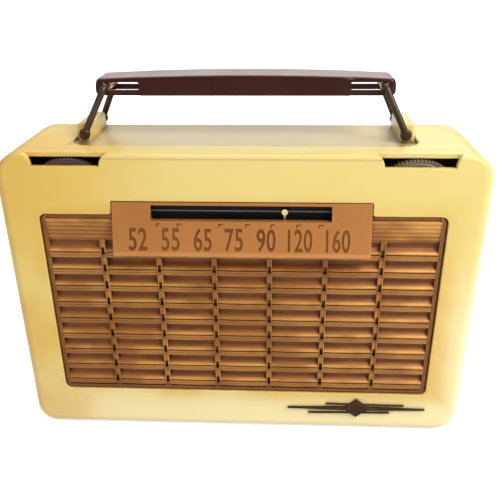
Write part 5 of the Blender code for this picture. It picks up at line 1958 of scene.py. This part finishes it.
@dataclass(frozen=True)
class Thumbwheel:
    """A knurled wheel with stepped rings on its face."""

    node: str
    body: str
    finish: Finish
    teeth: int = 72
    tooth: float = 0.0008
    bore: float = 0.0033
    rim_round: float = 0.0005
    knurl_from: float = 0.0212
    knurl_run: float = 0.0006
    tooth_steps: int = 8
    sharp: float = 40.0

    def build(self) -> None:
        """Turns the wheel's section, and lets its rim follow the teeth: a rounded wave of the angle."""
        low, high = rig.box(self.node)
        radius, thick = (high.x - low.x) / 2, high.y - low.y
        centre = ((low.x + high.x) / 2, low.y, (low.z + high.z) / 2)
        rim = arc_profile((radius - self.rim_round, self.rim_round), self.rim_round, -90, 0, 4)
        front = np.concatenate([self.face(), rim])
        profile = np.concatenate([front, front[::-1] * (1, -1) + (0, thick)])
        steps = self.teeth * self.tooth_steps
        rings = turned(profile, (0.0, 0.0, 0.0), Axis.Y, steps)
        angle = np.linspace(0, 2 * math.pi, steps, endpoint=False)
        wave = np.abs(np.sin(angle * self.teeth / 2)) ** 0.7
        outer = np.clip((profile[:, 0] - self.knurl_from) / self.knurl_run, 0, 1)[:, None]
        shrink = 1 - outer * (1 - wave[None, :]) * self.tooth / radius
        rings[..., 0] *= shrink
        rings[..., 2] *= shrink
        skin = Skin().grid(rings + np.array(centre), wrap_rows=True, wrap_cols=True)
        made = piece(f"knurled_{self.node}", skin.mesh(self.node), self.finish, self.body)
        made.data.shade_smooth()
        made.data.set_sharp_from_angle(angle=math.radians(self.sharp))
        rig.replaces(made, self.node)
        LOG.info("%s: %d faces", made.name, len(made.data.polygons))

    def face(self) -> Array:
        """(radius, depth) points of the stepped rings, from the bore to the rim.

        Returns:
            The points, from the bore outwards.
        """
        return np.array(
            [
                (self.bore, 0.0006),
                (0.006, 0.0006), (0.0064, 0.0001), (0.0085, 0.0001), (0.0088, 0.0007),
                (0.0125, 0.0007), (0.0129, 0.0003), (0.0142, 0.0003), (0.0146, 0.0009),
                (0.0182, 0.0009), (0.0186, 0.0), (0.0198, 0.0), (0.0201, 0.0003),
                (0.0207, 0.0003), (0.021, 0.0),
            ]
        )


@dataclass(frozen=True)
class Badge:
    """A plain ornament: a slim bar that tapers to both ends, a lozenge across it and a second line."""

    bar: float = 0.0013
    tip: float = 0.0004
    lozenge: float = 0.0075
    thick: float = 0.0012
    proud: float = 0.0002
    bevel: float = 0.0003
    set_in: float = 0.6
    corner: float = 0.00012
    below_middle: float = 0.0006

    def outlines(self, left: float, right: float) -> list[list[tuple[float, float]]]:
        """Outlines of the bar, the lozenge, the lower line and the upper line, from the badge's level.

        Args:
            left: The X of the left end.
            right: The X of the right end.

        Returns:
            Anticlockwise (x, height) corners of each.
        """
        middle, tip, bar, wide = (left + right) / 2, self.tip, self.bar, self.lozenge
        low_from, low_to = left + 0.012, right - 0.02
        high_from, high_to = left + 0.022, right - 0.012
        return [
            [(left, -tip), (middle, -bar), (right, -tip), (right, tip), (middle, bar), (left, tip)],
            [(middle - wide, 0), (middle, -0.0056), (middle + wide, 0), (middle, 0.0064)],
            [(low_from, -0.0036), (low_to, -0.0029), (low_to, -0.0023), (low_from, -0.0029)],
            [(high_from, 0.0027), (high_to, 0.0021), (high_to, 0.0027), (high_from, 0.0033)],
        ]

    def build(self) -> None:
        """Stacks each outline with a bevelled front edge, the lozenge a little prouder than the rest."""
        low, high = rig.box("badge")
        level = (low.z + high.z) / 2 - self.below_middle
        skin = Skin()
        fall, run = quarter(4)
        growth = np.append(0.0, -self.bevel * run * self.set_in)
        for index, shape in enumerate(self.outlines(low.x, high.x)):
            outline = rounded_polygon(np.array(shape) + np.array([0.0, level]), self.corner, 3)
            start = low.y + self.proud * (index != 1)
            levels = np.append(low.y + self.thick, start + self.bevel * fall)
            skin.stack(carried(outline, levels, growth, Axis.Y))
        made = smoothed(piece("badge_ornament", skin.mesh("badge_ornament"), Paints.BADGE))
        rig.replaces(made, "badge")


# ------------------------------------------------------------------ handle and bails


@dataclass(frozen=True)
class Handle:
    """The carry handle: an arched channel, open below, set in at its slotted ends."""

    body: str = "handle"
    grip_half: float = 0.0565
    set_in: float = 0.0018
    corner: float = 0.0032
    web: float = 0.0016
    flange: float = 0.002
    slot_half: float = 0.0021
    slot_outer: float = 0.0772
    slot_inner: float = 0.0568
    slot_corner: float = 0.0012
    fall: float = 0.002
    round_top: float = 0.0026
    round_low: float = 0.0006
    end_wall: float = 0.0034
    fillet: float = 0.0006
    blend: float = 0.0006
    below: float = 0.004
    sharp: float = 40.0

    def build(self) -> None:
        """Carries the section along X, hollows it from below and cuts the slots."""
        low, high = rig.box("handle")
        mesh = self.outer(low, high)
        mesh = carved(mesh, self.hollow(low, high).mesh("hollow"))
        mesh = carved(mesh, self.slots(low, high).mesh("slots"))
        made = smoothed(piece("carry_handle", mesh, Paints.HANDLE, self.body), self.sharp)
        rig.replaces(made, "handle")
        LOG.info("handle: %d faces", len(made.data.polygons))

    def crown(self, high: Vector, share: Array) -> Array:
        """The height of the top: a parabola of the share of the half length, highest in the middle."""
        return high.z - self.fall * share**2

    def outer(self, low: Vector, high: Vector) -> Mesh:
        """The outside: a section with round edges, whose width and height close in a round at each end.

        Args:
            low: The low corner of the handle's box.
            high: Its high corner.

        Returns:
            The closed outside.
        """
        half = (high.x - low.x) / 2
        ends = half - self.corner * quarter(8)[0]
        grip = np.linspace(0, self.grip_half - self.blend, 14)
        end_run = np.linspace(self.grip_half + 5 * self.blend, half - self.corner, 8)[:-1]
        span = np.concatenate([grip, [self.grip_half + self.blend], end_run, ends])
        x = np.concatenate([-span[::-1][:-1], span])
        share = np.abs(x) / half
        close = np.clip((np.abs(x) - half + self.corner) / self.corner, 0, 1)
        inset = self.corner * (1 - np.sqrt(np.clip(1 - close**2, 0, 1)))
        step = self.set_in / 2 * (np.abs(x) > self.grip_half)
        top = self.crown(high, share) - inset
        wide = (high.y - low.y) / 2 - inset * 0.5 - step
        base = np.full_like(x, low.z) + inset * 0.6
        middle = (low.y + high.y) / 2
        sine, cosine = quarter(7)
        side = np.repeat([1, 1, -1, -1], len(sine))
        lean = np.concatenate([-sine, -cosine, cosine[::-1], sine[::-1]])
        lift = np.concatenate([cosine, -sine, -sine[::-1], cosine[::-1]])
        is_top = np.repeat([False, True, True, False], len(sine))
        radius = np.where(is_top, self.round_top, self.round_low)[None, :]
        place_y = middle + side[None, :] * wide[:, None] + lean[None, :] * radius
        edge = np.where(is_top[None, :], top[:, None], base[:, None])
        place_z = edge + lift[None, :] * radius
        rings = np.stack([np.broadcast_to(x[:, None], place_y.shape), place_y, place_z], -1)
        return Skin().stack(rings).mesh("carry_handle")

    def hollow(self, low: Vector, high: Vector) -> Skin:
        """The channel's inside: rings along X that stay a wall's thickness in.

        Args:
            low: The low corner of the handle's box.
            high: Its high corner.

        Returns:
            The cutter.
        """
        half = (high.x - low.x) / 2 - self.end_wall
        x = np.linspace(-half, half, 25)
        top = self.crown(high, np.abs(x) / (half + self.end_wall)) - self.web
        wide = (high.y - low.y) / 2 - self.flange - self.set_in / 2
        middle = (low.y + high.y) / 2
        narrow = wide - self.fillet
        y = np.array([wide, wide, narrow, -narrow, -wide, -wide])
        lift = -self.fillet * np.array([0, 1, 0, 0, 1, 0])
        at_top = np.array([False, True, True, True, True, False])
        z = np.where(at_top[None, :], top[:, None], low.z - self.below) + lift[None, :]
        rings = np.stack([np.broadcast_to(x[:, None], z.shape), np.broadcast_to(middle + y, z.shape), z], -1)
        return Skin().stack(rings)

    def slots(self, low: Vector, high: Vector) -> Skin:
        """The slots that the crossbars run in, through both flanges.

        Args:
            low: The low corner of the handle's box.
            high: Its high corner.

        Returns:
            The cutters.
        """
        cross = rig.box("sleeve_left")
        level = (cross[0].z + cross[1].z) / 2
        skin = Skin()
        for side in (-1, 1):
            near, far = sorted((side * self.slot_inner, side * self.slot_outer))
            corners = rectangle(near, far, level - self.slot_half, level + self.slot_half)
            outline = rounded_polygon(corners, self.slot_corner, 4)
            levels = np.array([low.y - PAST_FACE, high.y + PAST_FACE])
            skin.stack(carried(outline, levels, np.zeros(2), Axis.Y))
        return skin


@dataclass(frozen=True)
class Bail:
    """A wire bail: a round tube along a path of straight legs and bends, with a round collar at each foot."""

    datum: Datum
    node: str
    side: int
    pivot_x: float = 0.0864
    pivot_z: float = 0.1675
    cross_x: float = 0.0751
    cross_z: float = 0.1913
    middle: float = 0.053
    foot_half: float = 0.0203
    head_half: float = 0.0143
    end_half: float = 0.0099
    bend: float = 0.0032
    wire: float = 0.0018
    collar: float = 0.0031
    bulge: float = 0.0011
    long: float = 1.5

    def corners(self) -> Array:
        """The six corner points of the path, from one end in its tower to the other.

        Returns:
            A (6, 3) array.
        """
        deep, up = self.datum.deep, self.datum.up
        pivot, cross = self.side * self.pivot_x, self.side * self.cross_x
        half = [
            (pivot, self.end_half, self.pivot_z),
            (pivot, self.foot_half, self.pivot_z),
            (cross, self.head_half, self.cross_z),
        ]
        front = [(x, deep(self.middle - y), up(z)) for x, y, z in half]
        rear = [(x, deep(self.middle + y), up(z)) for x, y, z in reversed(half)]
        return np.array([*front, *rear])

    def path(self) -> Array:
        """The path with an arc in place of each inner corner, as an array of points.

        Returns:
            An (n, 3) array.
        """
        points = self.corners()
        inner, before, after = points[1:-1], points[:-2], points[2:]
        back = (before - inner) / np.linalg.norm(before - inner, axis=1, keepdims=True)
        ahead = (after - inner) / np.linalg.norm(after - inner, axis=1, keepdims=True)
        half = np.arccos((back * ahead).sum(1))[:, None] / 2
        start, end = inner + back * self.bend / np.tan(half), inner + ahead * self.bend / np.tan(half)
        mid = back + ahead
        centre = inner + mid / np.linalg.norm(mid, axis=1, keepdims=True) * self.bend / np.sin(half)
        turn = math.pi - 2 * half
        share = np.linspace(0, 1, 13)[None, :, None]
        first, last = (start - centre)[:, None, :], (end - centre)[:, None, :]
        angle = turn[:, None, :]
        swept = (np.sin((1 - share) * angle) * first + np.sin(share * angle) * last) / np.sin(angle)
        arcs = centre[:, None, :] + swept
        return np.concatenate([points[:1], arcs.reshape(-1, 3), points[-1:]])

    def tube(self) -> Array:
        """Rings square to the path: its plane's normal, and that normal crossed with the direction.

        Returns:
            Rings for Skin.stack().
        """
        path = self.path()
        ahead = np.gradient(path, axis=0)
        ahead /= np.linalg.norm(ahead, axis=1, keepdims=True)
        leg = path[len(path) // 2] - path[0]
        leg[1] = 0.0
        normal = np.cross([0.0, 1.0, 0.0], leg / np.linalg.norm(leg))
        across = np.cross(normal, ahead)
        across /= np.linalg.norm(across, axis=1, keepdims=True)
        angle = np.linspace(0, 2 * math.pi, 24, endpoint=False)[None, :, None]
        return path[:, None, :] + self.wire * (np.cos(angle) * normal + np.sin(angle) * across[:, None, :])

    def build(self) -> None:
        """Makes the wire with its two collars."""
        skin = Skin().stack(self.tube())
        for facing in (-1, 1):
            y = self.datum.deep(self.middle + facing * self.foot_half)
            ball = arc_profile((self.collar - self.bulge, 0.0), self.bulge, -90, 90, 8) * (1, self.long)
            place = (self.side * self.pivot_x, y - facing * GAP, self.datum.up(self.pivot_z))
            skin.stack(turned(ball, place, Axis.Y, 32))
        made = smoothed(piece(f"wire_{self.node}", skin.mesh(self.node), Paints.BAIL, self.node))
        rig.replaces(made, self.node)


# ------------------------------------------------------------------ inner parts


class Inner:
    """The CAD nodes that keep their own shape and take a finish from their material slot."""

    @staticmethod
    def dress(frame: dict) -> None:
        """Gives every CAD node that is still shown the finish of its slot.
        """
        finishes = Paints.by_slot()
        for row in frame["record"]["subparts"]:
            node = frame["nodes"][row["node"]]
            if node.hide_render:
                continue
            material = finishes[row["material_slot"]].material()
            for place in node.material_slots:
                place.material = material
            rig.slot(node, row["material_slot"])
            LOG.info("%s wears %s", row["node"], material.name)


# ------------------------------------------------------------------ studio


@dataclass(frozen=True)
class Studio:
    """A pale floor that curves up behind, soft lights and the camera."""

    place: Place = (0.0214, -0.3692, 0.2572)
    pitch: float = 23.61
    turn: float = 2.98
    roll: float = -0.54
    lens: float = 48.68
    sensor: float = 36.0
    floor_near: float = -2.0
    floor_far: float = 1.6
    floor_bend: float = 0.8
    floor_top: float = 2.6
    floor_half: float = 2.6
    floor_glow: float = 0.6
    sky: float = 0.48

    def floor(self) -> None:
        """A sheet that runs back level and then bends up as a quarter round."""
        run = np.linspace(self.floor_near, self.floor_far, 8)
        turn = np.radians(np.linspace(0, 90, 13))[1:]
        back = self.floor_far + self.floor_bend
        y = np.concatenate([run, self.floor_far + self.floor_bend * np.sin(turn), [back]])
        z = np.concatenate([0 * run, self.floor_bend * (1 - np.cos(turn)), [self.floor_top]])
        x = np.linspace(-self.floor_half, self.floor_half, 9)
        places = np.stack(np.broadcast_arrays(x[None, :], y[:, None], z[:, None]), -1)
        mesh = Skin().grid(places).mesh("floor")
        made = bpy.data.objects.new("floor", mesh)
        bpy.context.scene.collection.objects.link(made)
        material = bpy.data.materials.new("pale_floor")
        material.use_nodes = True
        shader = material.node_tree.nodes["Principled BSDF"]
        shader.inputs["Roughness"].default_value = 0.85
        shader.inputs["Specular IOR Level"].default_value = 0.1
        shader.inputs["Emission Color"].default_value = (1.0, 1.0, 1.0, 1.0)
        net = Net(material.node_tree)
        seen = net.node("ShaderNodeLightPath").outputs["Is Camera Ray"]
        colour = net.mixed(net.noise(3.0), (0.86, 0.86, 0.86), (0.9, 0.9, 0.89))
        net.feed(shader.inputs["Emission Strength"], net.times(seen, self.floor_glow))
        net.feed(shader.inputs["Base Color"], colour)
        mesh.materials.append(material)
        mesh.shade_smooth()
        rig.stage(made)

    def light(self, name: str, place: Place, aim: Place, size: float, power: float, tint: Colour) -> None:
        """A square soft light turned towards a point.

        Args:
            name: The light's name.
            place: Where it stands.
            aim: The point it looks at.
            size: Its side.
            power: Its power in watts.
            tint: Its colour.
        """
        lamp = bpy.data.lights.new(name, "AREA")
        lamp.size, lamp.energy, lamp.color = size, power, tint
        made = bpy.data.objects.new(name, lamp)
        made.location = place
        made.rotation_mode = "QUATERNION"
        made.rotation_quaternion = (Vector(aim) - Vector(place)).to_track_quat("-Z", "Y")
        bpy.context.scene.collection.objects.link(made)

    def build(self) -> None:
        """Makes floor, lights, world and camera."""
        self.floor()
        self.light("key", (0.75, -0.55, 1.0), (0.0, 0.0, 0.08), 0.7, 18.0, (1.0, 0.98, 0.94))
        self.light("fill", (-0.9, -0.8, 0.5), (0.0, 0.0, 0.08), 1.0, 1.0, (1.0, 0.96, 0.9))
        self.light("back", (0.1, 1.0, 1.1), (0.0, 0.0, 0.12), 1.2, 12.0, (1.0, 1.0, 1.0))
        world = bpy.data.worlds.new("studio")
        world.use_nodes = True
        world.node_tree.nodes["Background"].inputs[0].default_value = (1.0, 0.99, 0.97, 1.0)
        world.node_tree.nodes["Background"].inputs[1].default_value = self.sky
        scene = bpy.context.scene
        scene.world = world
        scene.view_settings.view_transform = "Standard"
        data = bpy.data.cameras.new("camera")
        data.lens, data.sensor_width, data.sensor_fit = self.lens, self.sensor, "HORIZONTAL"
        data.clip_start = 0.01
        camera = bpy.data.objects.new("camera", data)
        camera.location = self.place
        aim = Euler((math.radians(90 - self.pitch), 0.0, math.radians(self.turn))).to_matrix()
        aim = aim @ Matrix.Rotation(math.radians(self.roll), 3, "Z")
        camera.rotation_euler = aim.to_euler()
        scene.collection.objects.link(camera)
        scene.camera = camera


def corners_of(box: tuple[Vector, Vector]) -> list[list[float]]:
    """A box's two corners as plain lists."""
    return [list(corner) for corner in box]


def main() -> None:
    """Loads the frame, builds every part around it and writes the two sizes."""
    logging.basicConfig(level=logging.INFO, format="%(name)s: %(message)s")
    for startup in list(bpy.data.objects):
        bpy.data.objects.remove(startup)
    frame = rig.load()
    cad_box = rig.bounds()
    datum = Datum.from_frame()
    Studio().build()
    Case(datum).build()
    Grille(datum).build()
    Dial(datum).build()
    Thumbwheel("volume_wheel", "volume", Paints.VOLUME).build()
    Thumbwheel("tuning_wheel", "tuning", Paints.TUNING).build()
    Badge().build()
    Handle().build()
    for node, side in (("bail_left", -1), ("bail_right", 1)):
        Bail(datum, node, side).build()
    Inner.dress(frame)
    with open(SIZE_FILE, "w") as out:
        json.dump({"cad": corners_of(cad_box), "visual": corners_of(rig.bounds())}, out)


if __name__ == "__main__":
    main()
